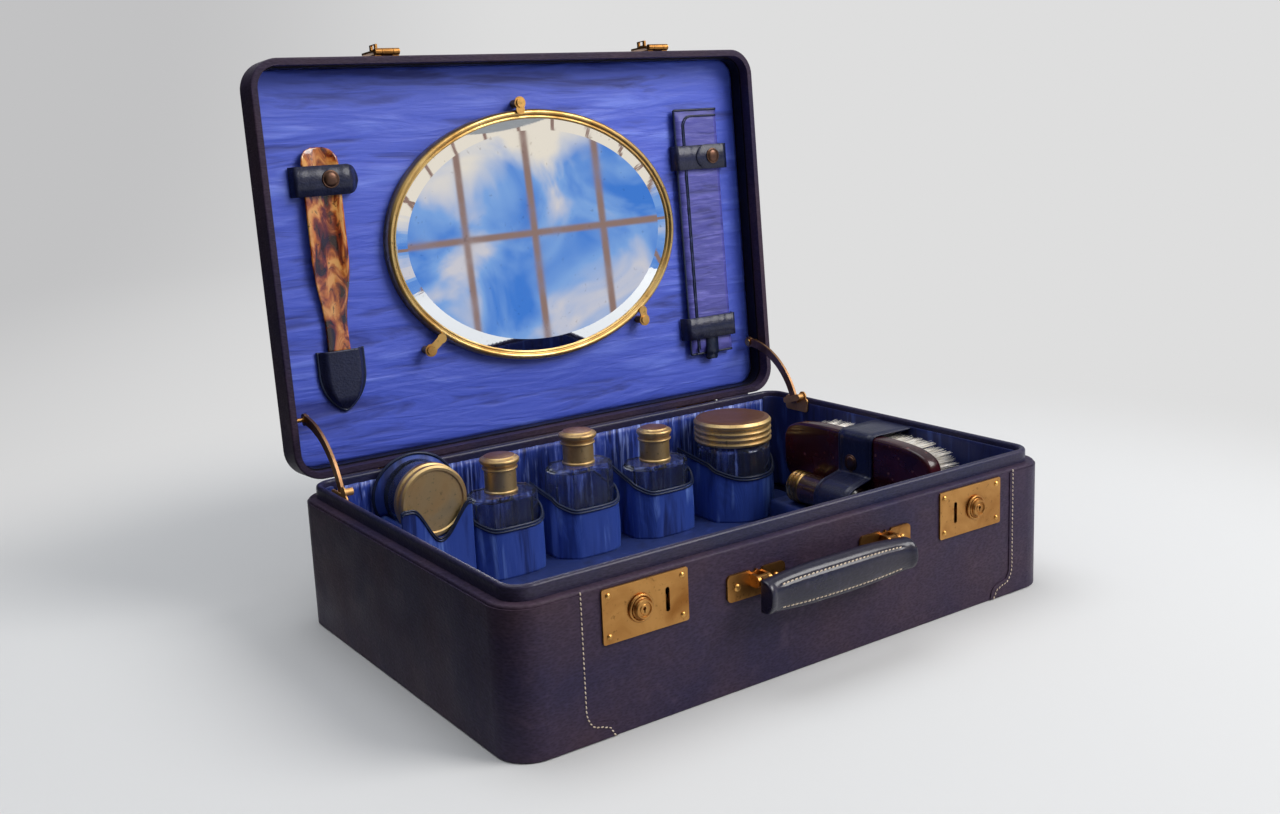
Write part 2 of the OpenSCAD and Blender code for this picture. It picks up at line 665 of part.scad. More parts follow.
// Small glass tube with a ribbed brass cap at its far end
module tube() {
    len = tube_y1 - tube_y0;
    color("saddlebrown") translate([tube_x, tube_y0, tube_z]) rotate([-90, 0, 0]) rotate_extrude()
        polygon(concat([[0, 0], [tube_r - 3, 0], [tube_r - 0.8, 2], [tube_r - 0.8, len - 15],
            [tube_r - 1.6, len - 14.4]],
            arc(tube_r - 1.2, len - 12, 1.2, -80, 80, 3), arc(tube_r - 1.2, len - 8, 1.2, -80, 80, 3),
            arc(tube_r - 1.2, len - 4, 1.2, -80, 80, 3), [[tube_r - 2.5, len - 0.6], [0, len]]));
}

module lid_shell() {
    color("midnightblue") on_lid() {
        round_sweep(case_w, case_d, corner_r)
            polygon(concat([[lid_wall, body_h]], arc(1.2, body_h + 1.2, 1.2, 270, 180),
                arc(5, lid_top - 5, 5, 180, 90), [[6, lid_top], [6, lid_top - lid_panel],
                [lid_wall, lid_top - lid_panel]]));
        translate([0, 0, lid_top - lid_panel]) linear_extrude(lid_panel)
            rounded_rect(case_w - 2 * lid_wall, case_d - 2 * lid_wall, corner_r - lid_wall);
    }
}
module lid_lining() {
    color("midnightblue") on_lid()
        round_sweep(case_w - 2 * lid_wall, case_d - 2 * lid_wall, corner_r - lid_wall)
            translate([0, collar_top + 1]) square([lid_lining_t, silk_z - collar_top - 1]);
}
module lid_silk() {
    color("mediumslateblue") on_lid() translate([0, 0, silk_z]) linear_extrude(silk_t)
        rounded_rect(case_w - 2 * lid_wall, case_d - 2 * lid_wall, corner_r - lid_wall);
}

// Oval brass frame, rounded on its face by two steps, with a rebate for the glass
module mirror_ring(a_out, b_out, a_in, b_in, h) {
    linear_extrude(h) difference() {
        polygon(oval(a_out, b_out, 2, 96));
        polygon(oval(a_in, b_in, 2, 96));
    }
}
module mirror_frame() {
    a = mirror_w / 2;
    b = mirror_h / 2;
    color("goldenrod") on_lid() translate([fit_x, mirror_y, 0]) {
        translate([0, 0, mirror_z + 1.6])
            mirror_ring(a, b, a - frame_w + 1.8, b - frame_w + 1.8, silk_z - mirror_z - 1.6);
        translate([0, 0, mirror_z + 0.6])
            mirror_ring(a - 0.7, b - 0.7, a - frame_w, b - frame_w, 1.2);
        translate([0, 0, mirror_z])
            mirror_ring(a - 2, b - 2, a - frame_w + 1.3, b - frame_w + 1.3, 0.7);
    }
}
module mirror_glass() {
    a = mirror_w / 2 - frame_w + 1.6;
    b = mirror_h / 2 - frame_w + 1.6;
    bevel = 10;
    color("silver") on_lid() translate([fit_x, mirror_y, mirror_z + 1.9]) {
        translate([0, 0, 1]) linear_extrude(glass_t - 1) polygon(oval(a, b, 2, 72));
        mirror([0, 0, 1]) translate([0, 0, -1 - eps])
            linear_extrude(1, scale = [(a - bevel) / a, (b - bevel) / b], slices = 1, segments = 0)
                polygon(oval(a, b, 2, 72));
    }
}
module mirror_back() {
    a = mirror_w / 2 - frame_w + 1.6;
    b = mirror_h / 2 - frame_w + 1.6;
    back_z = mirror_z + 1.9 + glass_t + 0.05;
    color("tan") on_lid() translate([fit_x, mirror_y, back_z])
        linear_extrude(silk_z - back_z) polygon(oval(a, b, 2, 96));
}

// Turn clips: a brass finger over the frame's edge, on a screw beside it
clip_z = mirror_z - 1.5;
clip_posts = [[-5, -106], [-97, 65.7], [91, 67.3]];
clip_turns = [90, -38, -96];
clip_reach = [5, 12, 7.5];
module clip(i) {
    p = clip_posts[i];
    color("goldenrod") on_lid() translate([p[0], p[1], 0]) difference() {
        union() {
            translate([0, 0, clip_z]) linear_extrude(1.1) {
                circle(4.6);
                rotate(clip_turns[i]) translate([0, -3]) square([clip_reach[i], 6]);
                rotate(clip_turns[i]) translate([clip_reach[i], 0]) circle(3.6);
            }
            translate([0, 0, clip_z]) cylinder(h = silk_z - clip_z, r = 3);
        }
        translate([0, 0, clip_z - 1]) cylinder(h = silk_z - clip_z + 2, r = 1.56);
    }
}
module clip_top() { clip(0); }
module clip_left() { clip(1); }
module clip_right() { clip(2); }

// Fixed leaves of the hasps on the lid's front wall, with their pins
module hasp_leaves() {
    color("goldenrod") on_lid() for (s = [-1, 1]) translate([fit_x + s * hasp_x, 0, 0]) {
        front_plate(front_y, 1.3) translate([0, hasp_z + 10]) rounded_rect(18, 14, 1.5);
        for (x = [-9, 4.2]) {
            translate([x, hasp_y, hasp_z]) rotate([0, 90, 0]) cylinder(h = 4.8, r = hasp_r);
            translate([x, front_y - 1.3, hasp_z]) cube([4.8, 1.3, 5]);
        }
        translate([-9, hasp_y, hasp_z]) rotate([0, 90, 0]) cylinder(h = 18, r = 1);
    }
}

// Swinging hasp with its staple, drawn shut over the lock and folded back by half a turn
module hasp(s) {
    leaf_y = plate_y - 0.25;
    hole = 2.6;
    color("goldenrod") on_lid() translate([fit_x + s * hasp_x, hasp_y, hasp_z])
        rotate([180, 0, 0]) translate([0, -hasp_y, -hasp_z]) difference() {
            union() {
                translate([-3.9, hasp_y, hasp_z]) rotate([0, 90, 0]) cylinder(h = 7.8, r = hasp_r);
                front_plate(leaf_y, 1.4) {
                    translate([-3.9, hasp_z - 4]) square([7.8, 4]);
                    translate([0, hasp_z - 15.5]) rounded_rect(15, 25, 4);
                }
                side_plate(-0.8, 1.6) translate([leaf_y - 0.5, lock_z - 5]) square([6, 10]);
            }
            translate([-10, hasp_y, hasp_z]) rotate([0, 90, 0]) cylinder(h = 20, r = 1.06);
            side_plate(-2, 4) translate([front_y + 0.6, lock_z - hole]) square([2.9, 2 * hole]);
        }
}
module hasp_left() { hasp(-1); }
module hasp_right() { hasp(1); }

// Half-width of the shoehorn along its length, from the rounded top (0) to the handle's end (1)
horn_stations = [[0, 6], [0.025, 11.5], [0.06, 15.2], [0.2, 17.5], [0.38, 17.1], [0.5, 15.8],
    [0.57, 13.2], [0.64, 9.6], [0.7, 8.4], [0.78, 8.2], [0.9, 9.2], [0.97, 8.2], [1, 5]];
module shoehorn() {
    y0 = horn_y - horn_l / 2;
    left = [for (p = horn_stations) [horn_x - p[1], y0 + p[0] * horn_l]];
    right = [for (i = [len(horn_stations) - 1:-1:0])
        [horn_x + horn_stations[i][1], y0 + horn_stations[i][0] * horn_l]];
    color("peru") on_lid() intersection() {
        translate([0, 0, silk_z - 5.4]) linear_extrude(5) polygon(concat(left, right));
        translate([horn_x, y0 - 1, silk_z - 22.1]) rotate([-90, 0, 0]) difference() {
            cylinder(h = horn_l + 2, r = 21.6, $fn = 96);
            translate([0, 0, -1]) cylinder(h = horn_l + 4, r = 18.9, $fn = 96);
            translate([-30, 0, -1]) cube([60, 60, horn_l + 4]);
        }
    }
}

// Piped pocket for the shoehorn's handle
module horn_pocket() {
    y_top = 56.5;
    half = 16.8;
    drop = 16;
    big = 30;
    color("navy") on_lid() translate([horn_x + 1, 0, silk_z - 6.6]) difference() {
        linear_extrude(6.6) {
            translate([-half, y_top]) square([2 * half, drop]);
            intersection() {
                translate([big - half, y_top + drop]) circle(big);
                translate([half - big, y_top + drop]) circle(big);
                translate([-half, y_top]) square([2 * half, 60]);
            }
        }
        translate([-11.2, y_top - 1, 1.1]) cube([20.4, 31.2, 10]);
    }
}
module horn_strap() {
    strap(horn_x + 3.4, -59.8, 49, 20.5, 7, 36.6, -3.2);
}

// Loop of leather across a lid fitting. free_w is the clear width under it, off its offset.
module strap(x, y, w, h, rise, free_w, off) {
    color("navy") on_lid() translate([x, y, silk_z - rise]) difference() {
        union() {
            translate([-w / 2, -h / 2, 0]) cube([w - h / 2, h, rise]);
            translate([w / 2 - h / 2, 0, 0]) cylinder(h = rise, r = h / 2);
        }
        translate([off - free_w / 2, -h, 1.3]) cube([free_w, 2 * h, rise]);
    }
}

module sleeve_straps() {
    strap(sleeve_x + 1.2, -57, 53, 19.3, 9.2, 45.6, -1.2);
    color("navy") on_lid() translate([sleeve_x - 1.3, 81.5, silk_z - 9.2]) difference() {
        translate([-26.5, -9, 0]) cube([53, 18, 9.2]);
        translate([-22, -20, 1.4]) cube([46.6, 40, 9.2]);
    }
}

// Press studs on the lid's two straps
module lid_studs() {
    color("saddlebrown") on_lid() for (p = [[horn_x + 5.9, -60.4, 7], [sleeve_x + 11.2, -57.4, 9.2]])
        translate([p[0], p[1], silk_z - p[2] - 2.2]) {
            cylinder(h = 1.4, r1 = 3.8, r2 = 5.8);
            translate([0, 0, 1.4]) cylinder(h = 0.8, r = 6.3);
        }
}

// Slim silk-covered sleeve with leather edges
module comb_sleeve() {
    t = 6.6;
    w = 44.4;
    color("slateblue") on_lid() translate([sleeve_x, sleeve_y, silk_z - t - 0.5]) {
        linear_extrude(t) rounded_rect(w - 1.6, sleeve_l - 1.6, 2.4);
        for (z = [0, t - 1.2]) translate([0, 0, z]) linear_extrude(1.2)
            difference() {
                rounded_rect(w, sleeve_l, 3);
                rounded_rect(w - 2.4, sleeve_l - 2.4, 2);
            }
        translate([-3, sleeve_l / 2 - 4, t - 3]) linear_extrude(2) {
            translate([-5, 0]) square([10, 8]);
            translate([0, 8]) circle(5);
        }
    }
}

base_shell();
base_collar();
floor_board();
side_lining();
back_pleats();
end_covers();
lock_plate_left();
lock_plate_right();
case_rivets();
lock_slide_left();
lock_slide_right();
handle_brackets();
handle_eyes();
handle_grip();
hinge_lower_leaves();
hinge_pins();
hinge_upper_leaves();
stay_guides();
bottle_pocket_1();
bottle_pocket_2();
bottle_pocket_3();
jar_pocket();
box_pocket();
brush_rack();
brush_strap();
strap_stud();
lid_shell();
lid_lining();
lid_silk();
mirror_frame();
mirror_glass();
mirror_back();
clip_top();
clip_left();
clip_right();
lid_screws();
hasp_leaves();
hasp_left();
hasp_right();
stay_left();
stay_right();
horn_strap();
horn_pocket();
lid_studs();
sleeve_straps();
shoehorn();
comb_sleeve();
bottle_1();
bottle_2();
bottle_3();
bottle_cap_1();
bottle_cap_2();
bottle_cap_3();
jar();
jar_lid();
round_box();
round_box_lid();
brush_back();
brush_bristles();
tube();
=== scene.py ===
# %% [markdown]
# # Dressing a fitted travelling box
# The CAD frame gives every hard part its place: case, locks, lid, mirror, bottles and brush.
# Blender adds what a maker of leather goods would add: grained leather, watered silk,
# piping, stitches, bristles and aged brass. Everything soft is built here as a mesh of its own
# and takes the place of its plain CAD solid.

# %% Load the frame
import json
import math
import random
import bmesh
import bpy
import numpy as np
from mathutils import Matrix, Vector, noise as mathutils_noise

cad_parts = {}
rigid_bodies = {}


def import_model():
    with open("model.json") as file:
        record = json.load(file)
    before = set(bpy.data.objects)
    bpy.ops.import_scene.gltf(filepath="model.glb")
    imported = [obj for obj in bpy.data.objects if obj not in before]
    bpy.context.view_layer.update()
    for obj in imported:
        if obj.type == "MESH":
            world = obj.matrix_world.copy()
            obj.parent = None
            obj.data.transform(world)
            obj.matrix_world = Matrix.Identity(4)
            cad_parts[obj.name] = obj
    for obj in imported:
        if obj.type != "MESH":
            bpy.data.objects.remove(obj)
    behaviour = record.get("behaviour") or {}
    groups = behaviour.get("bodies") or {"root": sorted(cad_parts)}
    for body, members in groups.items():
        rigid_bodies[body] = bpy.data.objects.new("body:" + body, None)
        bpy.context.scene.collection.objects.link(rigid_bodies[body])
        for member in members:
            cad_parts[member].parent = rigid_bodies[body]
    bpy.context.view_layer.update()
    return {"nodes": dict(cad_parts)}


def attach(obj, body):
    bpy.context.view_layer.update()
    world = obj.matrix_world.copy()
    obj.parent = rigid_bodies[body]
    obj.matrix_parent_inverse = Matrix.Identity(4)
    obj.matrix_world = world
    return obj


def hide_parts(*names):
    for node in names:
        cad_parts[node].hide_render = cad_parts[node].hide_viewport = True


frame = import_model()

# %% [markdown]
# ## The camera
# The photograph was taken a little above the box and from its left front corner.
# Its direction was worked out from the straight edges of the case, so the camera is given
# by its three axes and by the small shift that the photograph's crop needs.

# %% Camera
CAMERA_SPOT = (-0.51216, -0.70138, 0.33363)
YAW, PITCH, ROLL = (math.radians(a) for a in (34.33, 11.34, -2.58))
WIDE_PX, HIGH_PX, FOCAL_PX = 1280, 814, 1333.15
OPTICAL_CENTRE = (628.45, 373.29)
aim = Vector((math.sin(YAW) * math.cos(PITCH), math.cos(YAW) * math.cos(PITCH), -math.sin(PITCH)))
level_right = Vector((math.cos(YAW), -math.sin(YAW), 0))
level_up = level_right.cross(aim)
right = level_right * math.cos(ROLL) + level_up * math.sin(ROLL)
up = level_up * math.cos(ROLL) - level_right * math.sin(ROLL)
camera = bpy.data.objects.new("camera", bpy.data.cameras.new("camera"))
camera.matrix_world = Matrix.Translation(CAMERA_SPOT) @ Matrix(
    (right, up, -aim)).transposed().to_4x4()
camera.data.sensor_width = 36
camera.data.lens = 36 * FOCAL_PX / WIDE_PX
camera.data.shift_x = (WIDE_PX / 2 - OPTICAL_CENTRE[0]) / WIDE_PX
camera.data.shift_y = (OPTICAL_CENTRE[1] - HIGH_PX / 2) / WIDE_PX
camera.data.clip_start = 0.01
bpy.context.scene.collection.objects.link(camera)
bpy.context.scene.camera = camera
bpy.context.scene.view_settings.view_transform = "Standard"
print("camera lens", round(camera.data.lens, 2))

# %% [markdown]
# ## Short calls for materials
# A finish is a Principled shader fed by a few patterns. These helpers keep each recipe short:
# `noise` for cloudy variation, `cells` for leather grain, `ramp` to turn a value into colours
# and `bumped` to turn it into relief. Every pattern reads Object coordinates, in metres,
# so a scale of 1000 means one wave to the millimetre. A colour is written as it is seen on
# screen, as three numbers from 0 to 255.

# %% Material helpers
def colour(red, green, blue):
    """A screen colour as Blender's linear values."""
    seen = [c / 255 for c in (red, green, blue)]
    return tuple(c / 12.92 if c <= 0.04045 else ((c + 0.055) / 1.055) ** 2.4 for c in seen) + (1,)


def shade_of(value):
    return colour(*value) if isinstance(value, tuple) and len(value) == 3 else value


def new_finish(name, **values):
    material = bpy.data.materials.new(name)
    material.use_nodes = True
    shader = material.node_tree.nodes["Principled BSDF"]
    for socket, value in values.items():
        shader.inputs[socket.replace("_", " ")].default_value = value
    return material


def add_node(tree, kind, sockets, out=0, **settings):
    """One node, its settings and its sockets, which take numbers or other nodes' outputs."""
    node = tree.nodes.new(kind)
    for name, value in settings.items():
        setattr(node, name, value)
    for name, value in sockets.items():
        if isinstance(value, bpy.types.NodeSocket):
            tree.links.new(value, node.inputs[name])
        else:
            node.inputs[name].default_value = value
    return node.outputs[out]


def add(finish, kind, sockets, out=0, **settings):
    return add_node(finish.node_tree, "ShaderNode" + kind, sockets, out, **settings)


def placed(finish, stretch):
    spot = add(finish, "TexCoord", {}, "Object")
    return add(finish, "Mapping", {"Vector": spot, "Scale": stretch})


def along(finish, axis, coordinate="Object"):
    return add(finish, "SeparateXYZ", {0: add(finish, "TexCoord", {}, coordinate)}, axis)


def noise(finish, scale, detail=3.0, stretch=(1, 1, 1), distort=0.0):
    return add(finish, "TexNoise", {"Vector": placed(finish, stretch), "Scale": scale,
        "Detail": detail, "Distortion": distort})


def cells(finish, stretch, feature="SMOOTH_F1"):
    sockets = {"Vector": placed(finish, stretch), "Scale": 1.0}
    return add(finish, "TexVoronoi", sockets, "Distance", feature=feature)


def ramp(finish, value, *stops):
    node = finish.node_tree.nodes.new("ShaderNodeValToRGB")
    finish.node_tree.links.new(value, node.inputs[0])
    marks = node.color_ramp.elements
    while len(marks) < len(stops):
        marks.new(0.5)
    for mark, (place, shade) in zip(marks, stops):
        mark.position = place
        mark.color = shade_of(shade) if isinstance(shade, tuple) else (shade, shade, shade, 1)
    return node.outputs[0]


def clouds(finish, scale, detail, *stops, distort=0.0):
    """Noise turned straight into colours or numbers."""
    return ramp(finish, noise(finish, scale, detail, distort=distort), *stops)


def mixed(finish, factor, first, second, blend="MIX"):
    return add(finish, "Mix", {0: factor, 6: shade_of(first), 7: shade_of(second)}, 2,
        data_type="RGBA", blend_type=blend)


def math_of(finish, how, first, second):
    return add(finish, "Math", {0: first, 1: second}, operation=how)


def span_of(finish, value, start, end, **settings):
    return add(finish, "MapRange", {"Value": value, "From Min": start, "From Max": end},
        **settings)


def bumped(finish, height, depth, under=None):
    sockets = {"Height": height, "Distance": depth, "Strength": 1.0}
    if under is not None:
        sockets["Normal"] = under
    return add(finish, "Bump", sockets)


def feed(finish, **sources):
    shader = finish.node_tree.nodes["Principled BSDF"]
    for socket, source in sources.items():
        finish.node_tree.links.new(source, shader.inputs[socket.replace("_", " ")])
    return finish


# %% [markdown]
# ## Grained leather
# The box wears a long-grained navy goatskin: fine ridges that run mostly one way,
# broken into small cells, with a plum cast where the dye has aged. Stretching a cell pattern
# gives the ridges their direction, and a broad noise moves the colour between the two dyes.
# The polish is uneven, so the roughness follows a noise of its own.

# %% Leather finish
def make_leather(name, dye, aged, polish, grain=(420, 420, 1000), relief=0.00016, scuffs=0.1,
                 gloss=0.05):
    leather = new_finish(name, Coat_Weight=gloss, Coat_Roughness=0.22, Specular_IOR_Level=0.16)
    ridges = cells(leather, grain)
    ridges_wide = noise(leather, 1.0, 2.0, tuple(g * 0.45 for g in grain), 0.6)
    base = clouds(leather, 16, 4.0, (0.36, dye), (0.68, aged))
    creases = ramp(leather, ridges, (0.1, 0.62), (0.75, 1.0))
    toned = mixed(leather, 1.0, base, creases, "MULTIPLY")
    rubbed = clouds(leather, 60, 6.0, (0.6, 0.0), (0.8, scuffs), distort=1.4)
    worn = tuple(min(1, c * 3.2 + 0.02) for c in colour(*aged)[:3]) + (1,)
    return feed(leather, Base_Color=mixed(leather, rubbed, toned, worn),
        Roughness=clouds(leather, 34, 4.0, (0.3, polish - 0.07), (0.75, polish + 0.12)),
        Normal=bumped(leather, math_of(leather, "ADD", ridges, ridges_wide), relief))


case_leather = make_leather("case_leather", (55, 47, 75), (75, 58, 73), 0.46, gloss=0.0)
collar_leather = make_leather("collar_leather", (42, 44, 78), (60, 52, 76), 0.38, gloss=0.22)
grip_leather = make_leather("grip_leather", (26, 26, 50), (38, 32, 50), 0.34, scuffs=0.3,
    gloss=0.6)
dark_leather = make_leather("dark_leather", (20, 19, 30), (28, 24, 34), 0.36)
strap_leather = make_leather("strap_leather", (30, 35, 64), (42, 45, 76), 0.36,
    (700, 700, 800), 0.00026, gloss=0.4)
piping_leather = make_leather("piping_leather", (28, 36, 62), (52, 62, 92), 0.34,
    (900, 900, 900), 0.0001, gloss=0.3)
print("leathers made")

# %% [markdown]
# ## Watered silk
# The lid is lined with a blue-violet silk whose pressed ripples run across it. Moire is two
# things at once: long soft bands of tone and a fine rib. A noise stretched sideways and bent
# gives the bands; a wave gives the rib. Sheen adds the light that lies on silk at an angle.
# The slings and the walls of the well are the same silk given darker colours, which is painted
# shade.
# The slings are pulled tight, so their streaks run up; these pale upright streaks are partly the
# water pattern and partly painted sheen.

# %% Silk finish
UP_RIB, ACROSS_RIB, PLAIN_RIB = (900, 900, 60), (60, 60, 900), (700, 700, 700)


def make_silk(name, deep, middle, pale, run, rib, relief, gloss=0.42, soft=0.6):
    """run and rib stretch the bands and the rib; soft, from 0 to 1, blurs the bands."""
    silk = new_finish(name, Sheen_Weight=0.35, Sheen_Roughness=0.35, Specular_IOR_Level=0.5,
        Sheen_Tint=colour(*pale))
    bands, fine = noise(silk, 1.0, 6.0, run, 1.1), noise(silk, 3.1, 4.0, run, 0.7)
    tone = math_of(silk, "ADD", math_of(silk, "MULTIPLY", bands, 0.65),
        math_of(silk, "MULTIPLY", fine, 0.35))
    tint = ramp(silk, tone, (0.5 - 0.22 * soft, deep), (0.5 - 0.07 * soft, middle),
        (0.5 + 0.06 * soft, middle), (0.5 + 0.22 * soft, pale))
    weave = add(silk, "TexWave", {"Vector": placed(silk, rib), "Scale": 1.0, "Distortion": 1.2,
        "Detail": 2.0}, "Fac", bands_direction="DIAGONAL")
    shade = ramp(silk, weave, (0.0, 0.9), (1.0, 1.0))
    return feed(silk, Base_Color=mixed(silk, 1.0, tint, shade, "MULTIPLY"),
        Roughness=ramp(silk, tone, (0.3, gloss + 0.14), (0.7, gloss - 0.06)),
        Normal=bumped(silk, weave, 0.00004, bumped(silk, tone, relief)))


lid_silk = make_silk("lid_silk_moire", (50, 64, 160), (80, 103, 226), (110, 134, 248),
    (5, 5, 40), ACROSS_RIB, 0.003)
# painted shade: the well's silks below are the lid's silk in darker colours, and their pale upright
# streaks are partly the water pattern and partly painted sheen
shaded_sling_silk = make_silk("shaded_sling_silk", (20, 38, 102), (50, 77, 165), (118, 150, 230),
    (44, 44, 4), UP_RIB, 0.0014, 0.34)
shaded_gathered_silk = make_silk("shaded_gathered_silk", (14, 26, 88), (44, 68, 162), (142, 162, 238),
    (210, 210, 14), UP_RIB, 0.0009, 0.38, soft=0.5)
shaded_side_silk = make_silk("shaded_side_silk", (16, 24, 66), (28, 40, 100), (62, 84, 160),
    (50, 50, 7), UP_RIB, 0.0009, 0.4)
shaded_floor_silk = make_silk("shaded_floor_silk", (18, 33, 82), (28, 46, 104), (42, 60, 128),
    (26, 30, 26), PLAIN_RIB, 0.0006, 0.5)
sleeve_silk = make_silk("sleeve_silk", (62, 62, 140), (84, 84, 176), (112, 110, 204),
    (16, 16, 130), ACROSS_RIB, 0.0012)
print("silks made")

# %% [markdown]
# ## Brass, glass and the rest
# Old lacquered brass is uneven: bright where hands rub it, brown where they do not. The brass
# finish mixes two metal colours with a cloudy noise, roughens the brown parts and lays
# hair-fine scratches over all. A variant also reads the object's own normal: faces that look up
# turn brown and less metallic, which gives the bottle caps their brown tops.

# %% Metal finishes
def make_brass(name, bright, tarnish, gloss, top=None, brushed=(1200, 1200, 1200)):
    brass = new_finish(name, Metallic=1.0)
    cloudy = noise(brass, 44, 5.0, distort=0.5)
    tone = ramp(brass, cloudy, (0.38, bright), (0.72, tarnish))
    if top is not None:
        crown = ramp(brass, math_of(brass, "ADD", along(brass, "Z", "Normal"),
            math_of(brass, "MULTIPLY", noise(brass, 160), 0.1)), (0.9, 0.0), (1.0, 1.0))
        tone = mixed(brass, crown, tone, top)
        feed(brass, Metallic=ramp(brass, crown, (0.0, 1.0), (1.0, 0.45)))
    specks = clouds(brass, 420, 4.0, (0.62, 1.0), (0.74, 0.55))
    return feed(brass, Base_Color=mixed(brass, 1.0, tone, specks, "MULTIPLY"),
        Roughness=ramp(brass, cloudy, (0.3, gloss), (0.75, gloss + 0.2)),
        Normal=bumped(brass, noise(brass, 1.0, 2.0, brushed, 0.3), 0.00002))


lock_brass = make_brass("lock_brass", (188, 138, 78), (150, 98, 46), 0.32,
    brushed=(360, 360, 2800))
bracket_brass = make_brass("bracket_brass", (190, 138, 76), (126, 82, 40), 0.3)
cap_brass = make_brass("cap_brass", (238, 208, 148), (200, 160, 106), 0.38, (116, 78, 58))
frame_brass = make_brass("frame_brass", (230, 194, 126), (184, 140, 76), 0.26)
stay_brass = make_brass("stay_brass", (176, 134, 96), (118, 84, 60), 0.36)
screw_brass = make_brass("screw_brass", (224, 174, 98), (150, 102, 54), 0.3)
guide_brass = make_brass("guide_brass", (232, 184, 120), (180, 132, 80), 0.5)
stud_bronze = make_brass("stud_bronze", (118, 88, 72), (62, 46, 42), 0.26)

# %% [markdown]
# The clear pieces are real glass shaders, a little green-grey, with faint ripples in the
# surface. The looking glass is a front mirror with slight foxing. Tortoiseshell is amber with
# brown clouds under a gloss, and the brush's back is a maroon-black lacquer with the small
# plugged holes where its bristles were drawn.

# %% Glass, shell and lacquer finishes
def make_plain(name, patch, patch_low, patch_high, rough, rough_low, rough_high, bump=None,
               **values):
    """A finish of two mottled colours, an uneven polish and, if it is given, a fine relief."""
    plain = new_finish(name, **values)
    feed(plain, Base_Color=clouds(plain, *patch, patch_low, patch_high),
        Roughness=clouds(plain, *rough, rough_low, rough_high))
    if bump:
        feed(plain, Normal=bumped(plain, noise(plain, *bump[:-1]), bump[-1]))
    return plain


clear_glass = make_plain("clear_glass", (60, 3.0), (0.3, (226, 232, 248)),
    (0.8, (242, 246, 254)), (300, 4.0), (0.55, 0.01), (0.8, 0.16), (120, 3.0, 0.00012),
    Transmission_Weight=0.985, IOR=1.46)
bristle_white = make_plain("bristle_white", (260, 3.0), (0.3, (240, 230, 216)),
    (0.7, (255, 252, 246)), (500, 2.0), (0.2, 0.38), (0.8, 0.55), Sheen_Weight=0.2)
thread = make_plain("linen_thread", (900, 3.0), (0.3, (196, 172, 146)), (0.7, (238, 222, 200)),
    (2000, 2.0), (0.2, 0.6), (0.8, 0.8), (3000, 2.0, (1, 1, 1), 1.0, 0.0001),
    Sheen_Weight=0.3)
board = make_plain("plain_board", (140, 5.0), (0.3, (150, 128, 100)), (0.7, (186, 164, 132)),
    (300, 3.0), (0.2, 0.7), (0.8, 0.9), (900, 3.0, 0.0001))

looking_glass = new_finish("looking_glass", Metallic=1.0)
foxing = clouds(looking_glass, 210, 6.0, (0.66, 0.0), (0.8, 0.5))
feed(looking_glass, Base_Color=mixed(looking_glass, foxing, (236, 240, 244), (150, 140, 130)),
    Roughness=clouds(looking_glass, 30, 5.0, (0.4, 0.012), (0.8, 0.05)))

tortoiseshell = new_finish("tortoiseshell", Coat_Weight=1.0, Coat_Roughness=0.04,
    Subsurface_Weight=0.12, Subsurface_Scale=0.002)
mottle = noise(tortoiseshell, 62, 5.0, (1.5, 1, 0.62), 1.6)
flecks = noise(tortoiseshell, 230, 3.0, (1.2, 1, 0.7), 0.8)
shell_tone = ramp(tortoiseshell, mottle, (0.36, (236, 170, 92)), (0.46, (204, 116, 50)),
    (0.54, (130, 50, 22)), (0.64, (46, 20, 14)))
feed(tortoiseshell, Base_Color=mixed(tortoiseshell, ramp(tortoiseshell, flecks, (0.6, 0.0),
    (0.68, 0.75)), shell_tone, (34, 16, 12)),
    Roughness=ramp(tortoiseshell, flecks, (0.3, 0.14), (0.8, 0.24)),
    Normal=bumped(tortoiseshell, mottle, 0.0002))

maroon_lacquer = new_finish("maroon_lacquer", Coat_Weight=0.3, Coat_Roughness=0.12,
    Specular_IOR_Level=0.3)
plug_depth = ramp(maroon_lacquer, cells(maroon_lacquer, (110, 110, 110), "F1"), (0.1, 0.0),
    (0.16, 1.0))
lacquer_tone = clouds(maroon_lacquer, 46, 4.0, (0.35, (40, 12, 20)), (0.7, (66, 22, 30)))
feed(maroon_lacquer, Base_Color=mixed(maroon_lacquer, plug_depth, (104, 66, 66), lacquer_tone),
    Roughness=clouds(maroon_lacquer, 90, 4.0, (0.3, 0.16), (0.8, 0.34)),
    Normal=bumped(maroon_lacquer, plug_depth, 0.00015))

tube_finish = new_finish("tube_brown_and_brass", Coat_Weight=0.4, Coat_Roughness=0.1)
is_cap = ramp(tube_finish, span_of(tube_finish, along(tube_finish, "Y"), 0.0288, 0.0292),
    (0.0, 0.0), (1.0, 1.0))
tube_clouds = noise(tube_finish, 70, 4.0)
feed(tube_finish, Metallic=is_cap, Base_Color=mixed(tube_finish, is_cap,
        ramp(tube_finish, tube_clouds, (0.3, (34, 20, 20)), (0.7, (66, 40, 34))),
        ramp(tube_finish, tube_clouds, (0.4, (206, 170, 104)), (0.7, (120, 86, 46)))),
    Roughness=ramp(tube_finish, tube_clouds, (0.3, 0.2), (0.8, 0.36)))
print("hard finishes made")

# %% [markdown]
# ## Finishes for the CAD pieces
# A CAD piece keeps its shape and only changes its material slots. The list below reads like
# the maker's order of materials: one finish, and the parts that are made of it.

